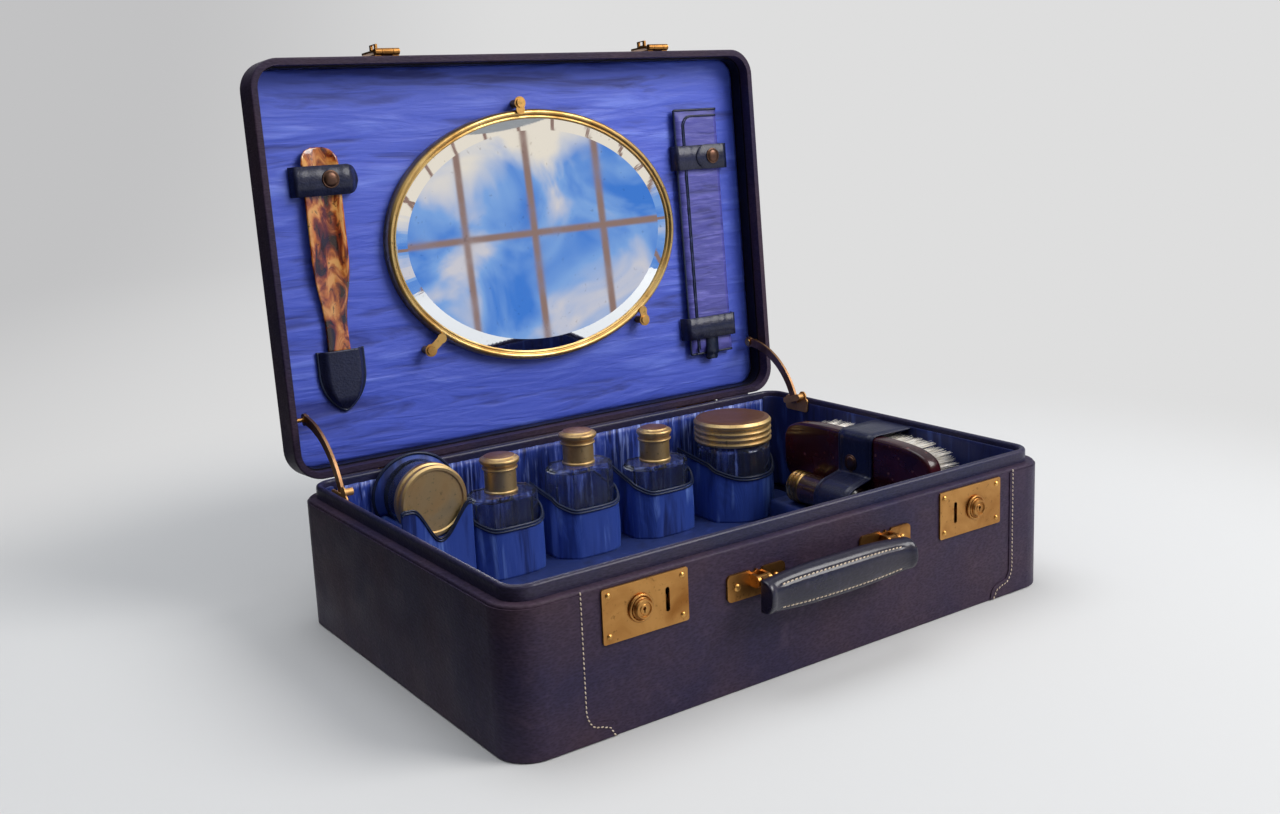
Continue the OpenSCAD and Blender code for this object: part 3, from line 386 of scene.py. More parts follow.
# %% Dress the CAD nodes
wears = {
    case_leather: "base_shell end_covers lid_shell",
    collar_leather: "base_collar",
    grip_leather: "handle_grip",
    dark_leather: "lid_lining",
    strap_leather: "brush_strap horn_strap horn_pocket sleeve_straps",
    lid_silk: "lid_silk",
    shaded_sling_silk: "bottle_pocket_1 bottle_pocket_2 bottle_pocket_3 jar_pocket box_pocket",
    shaded_gathered_silk: "back_pleats",
    shaded_side_silk: "side_lining",
    shaded_floor_silk: "floor_board brush_rack",
    sleeve_silk: "comb_sleeve",
    lock_brass: "lock_plate_left lock_plate_right lock_slide_left lock_slide_right",
    bracket_brass: "handle_brackets handle_eyes hinge_lower_leaves hinge_upper_leaves "
        "hinge_pins hasp_leaves hasp_left hasp_right",
    guide_brass: "stay_guides",
    screw_brass: "case_rivets lid_screws clip_top clip_left clip_right",
    stay_brass: "stay_left stay_right",
    cap_brass: "bottle_cap_1 bottle_cap_2 bottle_cap_3 jar_lid round_box_lid",
    frame_brass: "mirror_frame",
    stud_bronze: "strap_stud lid_studs",
    clear_glass: "bottle_1 bottle_2 bottle_3 jar round_box",
    looking_glass: "mirror_glass",
    tortoiseshell: "shoehorn",
    maroon_lacquer: "brush_back",
    bristle_white: "brush_bristles",
    tube_finish: "tube",
    board: "mirror_back",
}
dressed = set()
for finish, names in wears.items():
    for node_name in names.split():
        node = frame["nodes"][node_name]
        for slot in node.material_slots:
            slot.link = "OBJECT"
            slot.material = finish
        dressed.add(node_name)
print("nodes left undressed:", sorted(set(frame["nodes"]) - dressed))

# %% [markdown]
# ## The studio
# The box stands on a pale floor that curves up into a wall all round, like a photographer's
# cove. Close to the box the camera sees the real paper, with its shadow. Further out the
# paper fades into an even pale tone, with a painted shadow that makes it a little darker to the
# left as in the photograph. The paper beyond the box's left end is dark for all other light, which
# keeps that end dark.
# One large soft lamp at the front right and a weak sky do the lighting.

# %% Studio
def smooth_mesh(name, points, faces, place=None):
    mesh = bpy.data.meshes.new(name)
    mesh.from_pydata([tuple(p) for p in points], [], faces)
    if place is not None:
        mesh.transform(place)
    mesh.polygons.foreach_set("use_smooth", [True] * len(mesh.polygons))
    thing = bpy.data.objects.new(name, mesh)
    bpy.context.scene.collection.objects.link(thing)
    return thing


def grid_faces(rows, cols, around=False, ends=False, closed=False):
    """Quads between the points of a grid. around joins the last column to the first, closed
    the last row to the first, and ends fills the first and last rows with a polygon."""
    faces = []
    for i in range(rows if closed else rows - 1):
        low, high = i * cols, (i + 1) % rows * cols
        for j in range(cols if around else cols - 1):
            k = (j + 1) % cols
            faces.append((low + j, low + k, high + k, high + j))
    if ends:
        faces.append(tuple(range(cols))[::-1])
        faces.append(tuple((rows - 1) * cols + j for j in range(cols)))
    return faces


def full_circle(steps):
    return np.linspace(0, 2 * math.pi, steps, endpoint=False)


def even_light(finish, shade, strength=1.0):
    return add(finish, "Emission", {"Color": shade_of(shade), "Strength": strength})


COVE_STEPS = 96
cove_line = [(0.0001, 0)] + [(r, 0) for r in (0.6, 1.2, 1.8, 2.4)] + [
    (2.4 + 1.2 * math.sin(math.radians(a)), 1.2 - 1.2 * math.cos(math.radians(a)))
    for a in range(8, 91, 8)] + [(3.6, 2.6)]
cove = smooth_mesh("studio_cove", [(r * math.cos(t), r * math.sin(t), z) for r, z in cove_line
    for t in full_circle(COVE_STEPS)], grid_faces(len(cove_line), COVE_STEPS, True))
paper = new_finish("studio_paper", Roughness=0.9, Specular_IOR_Level=0.1)
tree = paper.node_tree
spot = add(paper, "TexCoord", {}, "Object")
away = add(paper, "VectorMath", {0: spot}, "Value", operation="LENGTH")
to_left = add(paper, "VectorMath", {0: spot, 1: tuple(level_right)}, "Value",
    operation="DOT_PRODUCT")
seen = add(paper, "LightPath", {}, "Is Camera Ray")
shade_side = math_of(paper, "MULTIPLY", span_of(paper, along(paper, "X"), -0.215, -0.33),
    math_of(paper, "SUBTRACT", 1.0, seen))
feed(paper, Base_Color=ramp(paper, shade_side, (0.0, (220, 220, 220)), (1.0, (62, 62, 64))))
soft = {"interpolation_type": "SMOOTHSTEP"}
# painted shadow: the far backdrop glows a little darker towards the left
left_painted_shadow = math_of(paper, "MULTIPLY", span_of(paper, to_left, -0.2, -1.4, **soft),
    span_of(paper, along(paper, "Y"), -0.5, 0.4, **soft))
backdrop = add(paper, "MixShader", {0: left_painted_shadow, 1: even_light(paper, (222, 222, 222)),
    2: even_light(paper, (194, 194, 195))})
far = span_of(paper, away, 0.42, 0.8, **soft)
shown = add(paper, "MixShader", {0: math_of(paper, "MULTIPLY", far, seen),
    1: tree.nodes["Principled BSDF"].outputs[0], 2: backdrop})
tree.links.new(shown, tree.nodes["Material Output"].inputs["Surface"])
cove.data.materials.append(paper)

world = bpy.data.worlds.new("studio_sky")
bpy.context.scene.world = world
world.use_nodes = True
sky = world.node_tree.nodes["Background"].inputs
sky["Color"].default_value, sky["Strength"].default_value = (0.93, 0.96, 1, 1), 0.6


def soft_lamp(name, place, size, power, tint):
    """A round lamp that looks at the middle of the box."""
    lamp = bpy.data.lights.new(name, "AREA")
    lamp.shape = "DISK"
    lamp.size = size
    lamp.energy = power
    lamp.color = tint
    thing = bpy.data.objects.new(name, lamp)
    direction = Vector((0, 0, 0.1)) - Vector(place)
    thing.matrix_world = Matrix.Translation(place) @ direction.to_track_quat(
        "-Z", "Y").to_matrix().to_4x4()
    bpy.context.scene.collection.objects.link(thing)


soft_lamp("window_light", (1.35, -1.5, 1.75), 1.5, 46, (1, 0.985, 0.96))
soft_lamp("overhead_light", (-0.2, 0.5, 2.2), 1.6, 16, (0.95, 0.97, 1))
print("studio lit")

# %% [markdown]
# ## What the mirror sees
# In the photograph the mirror shows a tall window: blue panes, pale curtains, tan bars. That
# view is a painted reflection: a glowing card with that pattern stands where the mirror looks.
# Only reflections can see it, so it lights nothing, throws no shadow and never shows by itself.

# %% Window card
LID_SWING, CARD_AWAY = math.radians(-93.8), 2.0
mirror_spot = Vector((0.004, 0.1364, 0.2389))
mirror_faces = Vector((0, math.sin(LID_SWING), -math.cos(LID_SWING)))
sight = (mirror_spot - camera.matrix_world.translation).normalized()
thrown = (sight - 2 * sight.dot(mirror_faces) * mirror_faces).normalized()
card_spot = mirror_spot + CARD_AWAY * thrown
beside = thrown.cross(Vector((0, 0, 1))).normalized()
upward = beside.cross(thrown).normalized()
card = smooth_mesh("window_card", [card_spot + beside * (0.75 * u) + upward * (0.6 * v)
    for v in (-1, 1) for u in (-1, 1)], grid_faces(2, 2))
card.data.uv_layers.new(name="panes").data.foreach_set("uv", [0, 0, 1.5, 0, 1.5, 1.2, 0, 1.2])
view_out = new_finish("painted_reflection_view")
panes_at = add(view_out, "UVMap", {}, uv_map="panes")
patch = add(view_out, "TexNoise", {"Vector": panes_at, "Scale": 5.0, "Detail": 4.0,
    "Distortion": 0.8})
sky_tone = ramp(view_out, patch, (0.34, (70, 128, 214)), (0.5, (132, 172, 228)),
    (0.64, (214, 210, 216)))
high = add(view_out, "SeparateXYZ", {0: panes_at}, "Y")
curtain = span_of(view_out, math_of(view_out, "ADD", high,
    math_of(view_out, "MULTIPLY", patch, 0.5)), 0.98, 1.1)
seen_out = mixed(view_out, curtain, sky_tone, (244, 232, 214))
bars = add(view_out, "TexBrick", {"Vector": panes_at, "Scale": 1.0, "Brick Width": 0.155,
    "Row Height": 0.31, "Mortar Size": 0.011, "Mortar Smooth": 0.6}, "Fac", offset=0.0)
# painted reflection: the card glows with a window's colours for glossy rays only
painted_reflection_glow = even_light(view_out, mixed(view_out, bars, seen_out, (150, 122, 112)))
view_out.node_tree.links.new(painted_reflection_glow, view_out.node_tree.nodes["Material Output"].inputs["Surface"])
card.data.materials.append(view_out)
for ray in ("camera", "diffuse", "transmission", "volume_scatter", "shadow"):
    setattr(card, "visible_" + ray, False)
print("card at", [round(c, 2) for c in card_spot])

# %% [markdown]
# ## Building pieces in code
# Every soft piece is a grid of points bent into shape, in millimetres, with the lid's pieces
# drawn on the shut lid and swung open with it. `make_piece` merges doubled points, turns all
# faces outwards, gives cloth its thickness, rounds it off and hands it to its CAD body. Its
# material is the finish it is given.

# %% Piece helpers
HINGE = Vector((0, 143.7, 90.6))
TO_METRES = Matrix.Scale(0.001, 4)
OPEN_LID = TO_METRES @ (Matrix.Translation(HINGE) @ Matrix.Rotation(LID_SWING, 4, "X") @
    Matrix.Translation(-HINGE))
FIT_X = 4  # middle of the locks, the handle and the mirror


def bake(piece):
    """Turns what the modifiers show into the piece's own plain mesh."""
    graph = bpy.context.evaluated_depsgraph_get()
    plain = bpy.data.meshes.new_from_object(piece.evaluated_get(graph))
    piece.modifiers.clear()
    piece.data = plain
    return piece


def dress(piece, finish, body, stands_for):
    piece.data.materials.clear()
    piece.data.materials.append(finish)
    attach(piece, body)
    if stands_for:
        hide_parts(*stands_for)
    return piece


def make_piece(name, points, faces, finish, body, *stands_for, thick=0.0, rounds=0,
               smooth=True):
    """A piece in the well or on the case, or on the lid and what rides with it."""
    on_lid = body in ("lid", "sleeve", "horn")
    piece = smooth_mesh(name, points, faces, OPEN_LID if on_lid else TO_METRES)
    shape = bmesh.new()
    shape.from_mesh(piece.data)
    bmesh.ops.remove_doubles(shape, verts=shape.verts, dist=1e-6)
    bmesh.ops.recalc_face_normals(shape, faces=shape.faces)
    shape.to_mesh(piece.data)
    shape.free()
    piece.data.polygons.foreach_set("use_smooth", [smooth] * len(piece.data.polygons))
    if thick:
        solid = piece.modifiers.new("thickness", "SOLIDIFY")
        solid.thickness = thick / 1000
        solid.offset = 0
    if rounds:
        round_off = piece.modifiers.new("rounding", "SUBSURF")
        round_off.levels = round_off.render_levels = rounds
    if thick or rounds:
        bake(piece)
    return dress(piece, finish, body, stands_for)


def wander(*place):
    """Smooth chance between -1 and 1 that depends only on the place."""
    spot = list(place) + [0.0] * (3 - len(place))
    return mathutils_noise.noise(Vector(spot))


def ease(t):
    t = min(1.0, max(0.0, t))
    return t * t * (3 - 2 * t)


def evenly(path, step):
    """The same path, cut into equal steps."""
    path = np.array(path, float)
    along = np.concatenate([[0], np.cumsum(np.linalg.norm(np.diff(path, axis=0), axis=1))])
    marks = np.linspace(0, along[-1], max(2, round(along[-1] / step)) + 1)
    return np.array([np.interp(marks, along, path[:, k]) for k in range(path.shape[1])]).T


def cord_points(path, radius):
    """Points and faces of a round cord along a path."""
    sides, points, across = 8, [], None
    path = np.array(path, float)
    ahead = np.roll(path, -1, 0) - np.roll(path, 1, 0)
    ahead[0], ahead[-1] = path[1] - path[0], path[-1] - path[-2]
    for spot, way in zip(path, ahead):
        way = Vector(way).normalized()
        if across is None:
            across = way.orthogonal().normalized()
        across = (across - way * across.dot(way)).normalized()
        beside = way.cross(across)
        points += [Vector(spot) + radius * (across * math.cos(a) + beside * math.sin(a))
            for a in full_circle(sides)]
    return points, grid_faces(len(path), sides, True, True)


def two_sided(rows, cols):
    """Faces of a flat pad: a front grid, a back grid of as many points, and its sides."""
    count = rows * cols
    front = grid_faces(rows, cols)
    back = [tuple(k + count for k in face)[::-1] for face in front]
    rim = list(range(cols - 1)) + [i * cols + cols - 1 for i in range(rows - 1)] + \
        [(rows - 1) * cols + j for j in range(cols - 1, 0, -1)] + \
        [i * cols for i in range(rows - 1, 0, -1)]
    return front + back + [(a, b, b + count, a + count) for a, b in zip(rim, rim[1:] + rim[:1])]


def together(*parts):
    """Joins several lists of points and faces into one."""
    points, faces = [], []
    for more_points, more_faces in parts:
        faces += [tuple(k + len(points) for k in face) for face in more_faces]
        points += list(more_points)
    return points, faces


def rounded_outline(w, d, r, steps=8):
    """Anticlockwise outline of a rectangle with round corners."""
    return [(sx * (w / 2 - r) + r * math.cos(a), sy * (d / 2 - r) + r * math.sin(a))
        for sx, sy, start in ((1, 1, 0), (-1, 1, 90), (-1, -1, 180), (1, -1, 270))
        for a in np.radians(np.linspace(start, start + 90, steps))]


def oval(a, b, power=2.0, steps=96):
    return [(a * math.copysign(abs(math.cos(t)) ** (2 / power), math.cos(t)),
        b * math.copysign(abs(math.sin(t)) ** (2 / power), math.sin(t)))
        for t in full_circle(steps)]


def stack(outline_at, levels, steps):
    """A closed form from outlines laid one over the other: (outline settings, height) each."""
    points = [(x, y, z) for settings, z in levels for x, y in outline_at(*settings)]
    return points, grid_faces(len(levels), steps, True, True)


def puff(piece, voxel, cap, top):
    """Stuffs a closed piece: an even skin, cloth with air inside, and a cap on its swelling."""
    skin = piece.modifiers.new("even skin", "REMESH")
    skin.mode = "VOXEL"
    skin.voxel_size = voxel
    finish, keep = piece.data.materials[0], piece.parent
    piece.parent = None
    bake(piece)
    rest = np.array([v.co for v in piece.data.vertices])
    cloth = piece.modifiers.new("stuffing", "CLOTH")
    cloth.settings.use_pressure = True
    cloth.settings.uniform_pressure_force = 4.0
    cloth.settings.effector_weights.gravity = 0
    for moment in range(1, 21):
        bpy.context.scene.frame_set(moment)
    bake(piece)
    now = np.array([v.co for v in piece.data.vertices])
    move = now - rest
    far = np.linalg.norm(move, axis=1, keepdims=True)
    now = rest + move * np.minimum(1, cap / np.maximum(far, 1e-9))
    now[:, 2] = np.minimum(now[:, 2], top)
    piece.data.vertices.foreach_set("co", now.astype(np.float32).ravel())
    finer = piece.modifiers.new("rounding", "SUBSURF")
    finer.levels = finer.render_levels = 1
    bake(piece)
    piece.data.polygons.foreach_set("use_smooth", [True] * len(piece.data.polygons))
    piece.data.materials.clear()
    piece.data.materials.append(finish)
    piece.parent = keep
    bpy.context.scene.frame_set(1)
    print(piece.name, "stuffed,", len(rest), "points")
    return piece


# %% [markdown]
# ## The well's padding
# The floor of the well is a board under wadding and silk, so it is a thin pad with rolled
# edges. It is stuffed by simulation: the pad starts slightly small, air swells it, and the cap
# keeps it under the bottles that stand on it. The rack for the brush is a silk-covered block,
# rounded off but not stuffed.

# %% Floor pad and rack
levels = [((396, 257, 9, 10), 5.0), ((399, 260, 10, 10), 7.0), ((399.2, 260.2, 10, 10), 10.5),
    ((397, 258, 9, 10), 12.6), ((391, 252, 7, 10), 13.5), ((380, 241, 5, 10), 13.7)]
floor_pad = make_piece("floor_pad", *stack(rounded_outline, levels, 40), shaded_floor_silk, "case",
    "floor_board")
puff(floor_pad, voxel=0.0045, cap=0.002, top=0.01395)

rack_line = [(134.9, 15), (134.5, 20), (134.6, 27.5), (135.8, 29.5), (138, 29.9), (158, 29.9),
    (159.6, 30.4), (160.6, 32), (160.7, 36), (161.4, 38), (163, 38.6), (196.5, 38.6),
    (198.5, 37.5), (198.7, 20), (198.4, 14.2), (137, 14.2)]
rack_rows = [(-97.6, 0.9), (-97, 0.97), (-94, 1.0), (-82, 1.0), (-40, 1.0), (20, 1.0), (58, 1.0),
    (61, 0.97), (61.6, 0.9)]
rack_points = [(166.6 + (x - 166.6) * f, y, 14.1 + (min(z, 29.9 if y < -83 else 99) - 14.1) * f)
    for y, f in rack_rows for x, z in rack_line]
brush_rest = make_piece("brush_rest", rack_points, grid_faces(len(rack_rows), len(rack_line),
    True, True), shaded_floor_silk, "case", "brush_rack", rounds=1)

# %% [markdown]
# ## Silk on the walls
# The side walls are covered with smooth silk that puckers a little along its length. The back
# wall is gathered: a strip longer than the wall, drawn up into uneven ripples that are
# pinched at the top hem. The ripples come from waves whose spacing wanders.

# %% Side lining and gathered back
inner_wall = rounded_outline(400, 261, 10, 8)
WALL_STEP, WALL_HIGH, GATHERED_HIGH = 3.0, 0.0776, 0.0766
wall_line = evenly([(-188, 130.5)] + inner_wall[8:] + inner_wall[:8] + [(188, 130.5)], WALL_STEP)
tangent = np.gradient(wall_line, axis=0)
tangent /= np.linalg.norm(tangent, axis=1, keepdims=True)
inward = np.stack([-tangent[:, 1], tangent[:, 0]], 1)
if (inward[10] @ -wall_line[10]) < 0:
    inward = -inward
lining_points = []
LINING = [(0.05, 14), (0.05, 50), (0.05, 91), (0.3, 91.5), (0.8, 91.6), (1.1, 91.2),
    (1.15, 88), (0.9, 80), (0.9, 65), (0.9, 50), (0.9, 35), (0.95, 14)]
for k, (spot, side) in enumerate(zip(wall_line, inward)):
    for depth, z in LINING:
        pucker = 0.0 if depth < 0.85 else 0.28 * wander(k * 0.31, z * 0.03, 3) - 0.05
        lining_points.append((*(spot + side * min(1.18, depth + pucker)), z))
side_silk = make_piece("side_silk", lining_points, grid_faces(len(wall_line), len(LINING),
    True, True), shaded_side_silk, "case", "side_lining", rounds=1)

GATHERS = 560
gather_points = []
for i in range(GATHERS + 1):
    x = -187.4 + 374.8 * i / GATHERS
    phase = x * 0.62 + 2.6 * wander(x * 0.045, 7)
    for j in range(17):
        z = 14 + 76.4 * j / 16
        drawn = 0.55 + 0.45 * math.sin(math.pi * min(1, j / 15)) - (0.3 if j == 15 else 0)
        fold = math.sin(phase + 0.5 * wander(x * 0.05, z * 0.03, 5)) + \
            0.45 * math.sin(2.3 * phase + 1.7 * wander(x * 0.07, z * 0.02))
        depth = 2.6 + 1.25 * drawn * fold * (0.65 + 0.5 * wander(x * 0.11, 2))
        gather_points.append((x, 130.5 - min(4.4, max(0.5, depth)), z))
gathered = make_piece("gathered_back", gather_points, grid_faces(GATHERS + 1, 17), shaded_gathered_silk,
    "case", "back_pleats", thick=0.35)

# %% [markdown]
# ## The lid's silk
# The lid is padded with thin wadding and covered with watered silk, pulled flat but not quite:
# long shallow ripples run across it and the edge rolls down to the leather.

# %% Lid panel
LID_ROWS, LID_COLS = 96, 110
panel_points = []
for i in range(LID_ROWS + 1):
    y = -135.4 + 270.8 * i / LID_ROWS
    corner = max(0.0, abs(y) - 120.5)
    half = 205.1 - (15 - math.sqrt(max(0.0, 225 - corner ** 2)))
    for j in range(LID_COLS + 1):
        x = half * (2 * j / LID_COLS - 1)
        edge = min(half - abs(x), 135.4 - abs(y))
        roll = 1.3 * (1 - ease(edge / 5)) ** 2
        gathered_in = 0.5 + 0.5 * ease((abs(x) - 100) / 90)
        ripple = 0.3 * wander(x * 0.009, y * 0.06, 1) + 0.34 * gathered_in * wander(x * 0.012 +
            0.4, y * 0.13 + 0.5 * wander(x * 0.02, 3), 4)
        panel_points.append((x, y, 107.25 + roll + ripple * ease(edge / 7)))
panel_points += [(x, y, 108.9) for x, y, z in panel_points]
lid_panel = make_piece("lid_panel", panel_points, two_sided(LID_ROWS + 1, LID_COLS + 1),
    lid_silk, "lid", "lid_silk")
print("well and lid lined")

# %% [markdown]
# ## Slings for the bottles
# Each bottle stands in a sling of silk nailed to the back wall. Seen from above it runs out
# from the wall, round the bottle and back, with a soft crease at the front left. Its top edge
# dips at the front so that the fingers can take the bottle, and is piped with two fine cords
# of navy leather.

# %% Bottle slings
BACK_Y = 125.7
FLOOR_Z = 14


def sling(name, node, x, y, a, b, dip, side, back, power):
    """A sling round a vessel at x, y with half sizes a and b. Its top edge is dip high at the
    front, side beside the vessel and back at the wall; power squares the vessel's plan."""
    front = [(x + a * math.copysign(abs(math.cos(t)) ** (2 / power), math.cos(t)),
        y - b * abs(math.sin(t)) ** (2 / power)) for t in np.linspace(0, math.pi, 120)]
    path = [(x + a, BACK_Y)] + [p for p in front if p[0] > x - 0.62 * a]
    path += [(x - 0.985 * a, y - 0.45 * b), (x - a - 0.4, BACK_Y)]
    path = evenly(path, 1.3)
    for _ in range(3):
        path[1:-1] = (path[:-2] + 2 * path[1:-1] + path[2:]) / 4
    way = np.gradient(path, axis=0)
    way /= np.linalg.norm(way, axis=1, keepdims=True)
    out = np.stack([way[:, 1], -way[:, 0]], 1)
    if out[len(out) // 2][1] > 0:
        out = -out
    top = [dip + (side - dip) * ease((py - (y - b)) / (b - 2)) if py < y - 2 else
        side + (back - side) * (py - y + 2) / (BACK_Y - y + 2) for _, py in path]
    rows, points = 26, []
    for i in range(rows + 1):
        level = i / rows
        for k, (spot, away, edge) in enumerate(zip(path, out, top)):
            free = math.sin(math.pi * min(1.0, 0.12 + level * 0.92)) * ease(k / 6) * \
                ease((len(path) - 1 - k) / 6)
            fold = 0.55 * wander(k * 0.26 + x, level * 1.3, 2) + \
                0.25 * wander(k * 0.8, level * 3, x)
            swell = 0.1 + free * (0.35 + fold)
            z = FLOOR_Z - 0.1 + (edge - FLOOR_Z) * level
            points.append((*(spot + away * (max(-0.35, swell) - 0.55)), z))
    cloth = make_piece(name, points, grid_faces(rows + 1, len(path)), shaded_sling_silk, "case", node,
        thick=0.8)
    hem = [(*(spot + away * -0.3), edge + 0.1) for spot, away, edge in zip(path, out, top)]
    low = [(*(spot + away * 0.35), edge - 1.75) for spot, away, edge in zip(path, out, top)]
    piping = make_piece(name + "_piping", *together(cord_points(hem, 0.95),
        cord_points(low, 0.75)), piping_leather, "case")


for number, x, width, back in ((1, -78, 51, 61), (2, -12.5, 50, 64), (3, 56, 51, 68)):
    sling(f"sling_{number}", f"bottle_pocket_{number}", x, 100, width / 2 + 2.1, 20.4, 50, 59,
        back, 3.2)
sling("jar_sling", "jar_pocket", 128, 94.5, 30.9, 30.9, 49, 60, 65, 2.0)

# %% [markdown]
# ## The round box's cradle
# The round box lies on its side in a silk-covered block with a trough. Its front is cut down
# in an S-curve on each side so that the brass lid shows, and a small arched board stands
# behind it. Both edges are piped.

# %% Cradle
BOX_X, BOX_Z, HALF = -133.0, 76.5, 26.5


def notch(x):
    """Height of the front's top edge: low in the middle, a rounded wing at each side."""
    t = (x - BOX_X - 1.5) / (20 if x < BOX_X + 1.5 else 26.8)
    wing = 74.6 if x < BOX_X else 76
    round_off = 1.6 * (1 - ease((HALF - abs(x - BOX_X)) / 2.2))
    return (50.5 + 12 * (1 - math.cos(math.pi * t)) if abs(t) < 1 else wing) - round_off


trough = [(BOX_X + 25.95 * math.sin(a), BOX_Z - 25.95 * math.cos(a))
    for a in np.radians(np.linspace(62, -62, 24))]
block_line = [(BOX_X - HALF + 0.3, 14.2), (BOX_X + HALF - 0.3, 14.2), (BOX_X + HALF, 20),
    (BOX_X + HALF, 60), (BOX_X + HALF - 0.6, 63.6), (BOX_X + HALF - 2, 64.6)] + trough + [
    (BOX_X - HALF + 2, 64.6), (BOX_X - HALF + 0.6, 63.6), (BOX_X - HALF, 60), (BOX_X - HALF, 20)]
block = ([(x, y, z) for y in (91.7, 100, 112, 125.5) for x, z in block_line],
    grid_faces(4, len(block_line), True, True))
front_cols, front_rows, panel = 64, 22, []
for i in range(front_rows + 1):
    for j in range(front_cols + 1):
        x = BOX_X - HALF + 2 * HALF * j / front_cols
        level = i / front_rows
        z = 14 + (notch(x) - 14) * level
        puffed = 0.5 * math.sin(math.pi * j / front_cols) * math.sin(math.pi * min(1, level + 0.1))
        panel.append((x, 90.9 - max(-0.1, puffed + 0.3 * wander(x * 0.13, z * 0.03)), z))
arch = [(BOX_X + 31 * math.cos(a), BOX_Z + 27.6 * math.sin(a))
    for a in np.radians(np.linspace(-24, 204, 60))]
board_points = [(x, y, max(z, 60)) for y in (124.0, 125.6) for x, z in arch]
cradle = make_piece("box_cradle", *block, shaded_sling_silk, "case", "box_pocket")
cradle_front = make_piece("cradle_front", panel, grid_faces(front_rows + 1, front_cols + 1),
    shaded_sling_silk, "case", thick=1.2)
make_piece("cradle_back", board_points, grid_faces(2, len(arch), True, True), shaded_sling_silk, "case")
edge_line = evenly([(x, 90.8, notch(x)) for x in
    (BOX_X - HALF + 2 * HALF * j / 90 for j in range(91))], 1.2)
edge_low = [(x, y - 0.5, z - 1.7) for x, y, z in edge_line]
arch_line = evenly([(x, 124.6, z) for x, z in arch if z > 62], 1.5)
cradle_piping = make_piece("cradle_piping", *together(cord_points(edge_line, 0.95),
    cord_points(edge_low, 0.7), cord_points(arch_line, 1.2)), piping_leather, "case")
print("slings and cradle made")

# %% [markdown]
# ## Leather straps
# A strap is a band of leather carried along a line. Its section is not a plain rectangle:
# the edges are rounded and a creasing iron has pressed a line just inside each of them.
# The wide strap comes from the wall over the brush, down its back and round the small tube.

# %% Strap helper and the brush strap
SECTION = [(-1.0, 0.35), (-0.995, 0.62), (-0.97, 0.94), (-0.93, 1.0), (-0.9, 0.98), (-0.885, 0.7),
    (-0.87, 0.98), (-0.6, 1.06), (0, 1.1), (0.6, 1.06), (0.87, 0.98), (0.885, 0.7), (0.9, 0.98),
    (0.93, 1.0), (0.97, 0.94), (0.995, 0.62), (1.0, 0.35)]


def band(path, across, widths, thick):
    """A leather band: path of middle-line points, unit vector across it, half width at each."""
    path, across = [Vector(p) for p in path], Vector(across)
    points = []
    for k, spot in enumerate(path):
        way = path[min(k + 1, len(path) - 1)] - path[max(k - 1, 0)]
        up = across.cross(way).normalized()
        half = widths[k]
        points += [spot + across * (half * v) + up * (thick * (h - 0.5)) for v, h in SECTION]
        points += [spot + across * (half * v) - up * (thick * 0.5) for v in (0.98, 0, -0.98)]
    return points, grid_faces(len(path), len(SECTION) + 3, True, True)


def arc(cx, cy, r, start, end, steps):
    return [(cx + r * math.cos(a), cy + r * math.sin(a))
        for a in np.radians(np.linspace(start, end, steps))]


strap_line = [(199.4, 90.7)] + arc(163.9, 85.7, 5, 90, 180, 10) + [(158.9, 61.2), (158.1, 59.2)] + \
    arc(147, 42.6, 13.6, 104, 180, 16) + [(133.4, 21.2)]
strap_path = [(x, -9.5, z) for x, z in evenly(strap_line, 2.0)]
strap_half = [18.4 - 1.2 * math.sin(t) for t in np.linspace(0, math.pi, len(strap_path))]
make_piece("wide_strap", *band(strap_path, (0, 1, 0), strap_half, 1.5), strap_leather, "case",
    "brush_strap")

# %% [markdown]
# ## Lid straps, horn pocket and sleeve bands
# On the lid, short straps loop over the shoehorn and over the slim sleeve. Each rises from
# the silk, crosses its load and comes down again; two of them end in a rounded tab under a
# press stud. The shoehorn's handle sits in a pointed pocket with a corded edge.

# %% Lid leather
SILK_Z = 107.0


def lid_loop(x, y, w, h, rise, left_leg, right_leg, thick, tab=False):
    """Loop across a load: w wide, h high, with the free span between its two legs. A tab
    rounds off its right end."""
    path, halves = [], []
    for u in np.linspace(-w / 2, w / 2, 56):
        climb = ease((u + w / 2) / left_leg) * ease((w / 2 - u) / right_leg)
        past = (u - (w - h) / 2) / (h / 2) if tab else 0.0
        path.append((x + u, y, SILK_Z - 0.9 - (rise - 0.9) * climb + 0.25 * wander(u * 0.2, y)))
        halves.append(h / 2 * (math.sqrt(max(0.02, 1 - past ** 2)) if past > 0 else 1.0))
    return band(path, (0, -1, 0), halves, thick)


make_piece("horn_loop", *lid_loop(-159.8, -59.8, 49, 20.5, 6.4, 3.0, 8.5, 1.5, tab=True),
    strap_leather, "lid", "horn_strap")
tab_line = [(x, -57, SILK_Z - 8.75 + 2.6 * ease((x - 183.4) / 4))
    for x in np.linspace(155.2, 187.6, 44)]
tab_half = [9.9 * math.sqrt(1 - min(0.99, max(0.0, (165 - x) / 9.9)) ** 2)
    for x, y, z in tab_line]
make_piece("sleeve_bands", *together(lid_loop(161.5, -57, 53, 19.3, 8.0, 2.4, 4.2, 1.2),
    lid_loop(159, 81.5, 53, 18, 8.6, 4.2, 3.6, 1.5), band(tab_line, (0, -1, 0), tab_half, 0.85)),
    strap_leather, "lid", "sleeve_straps")

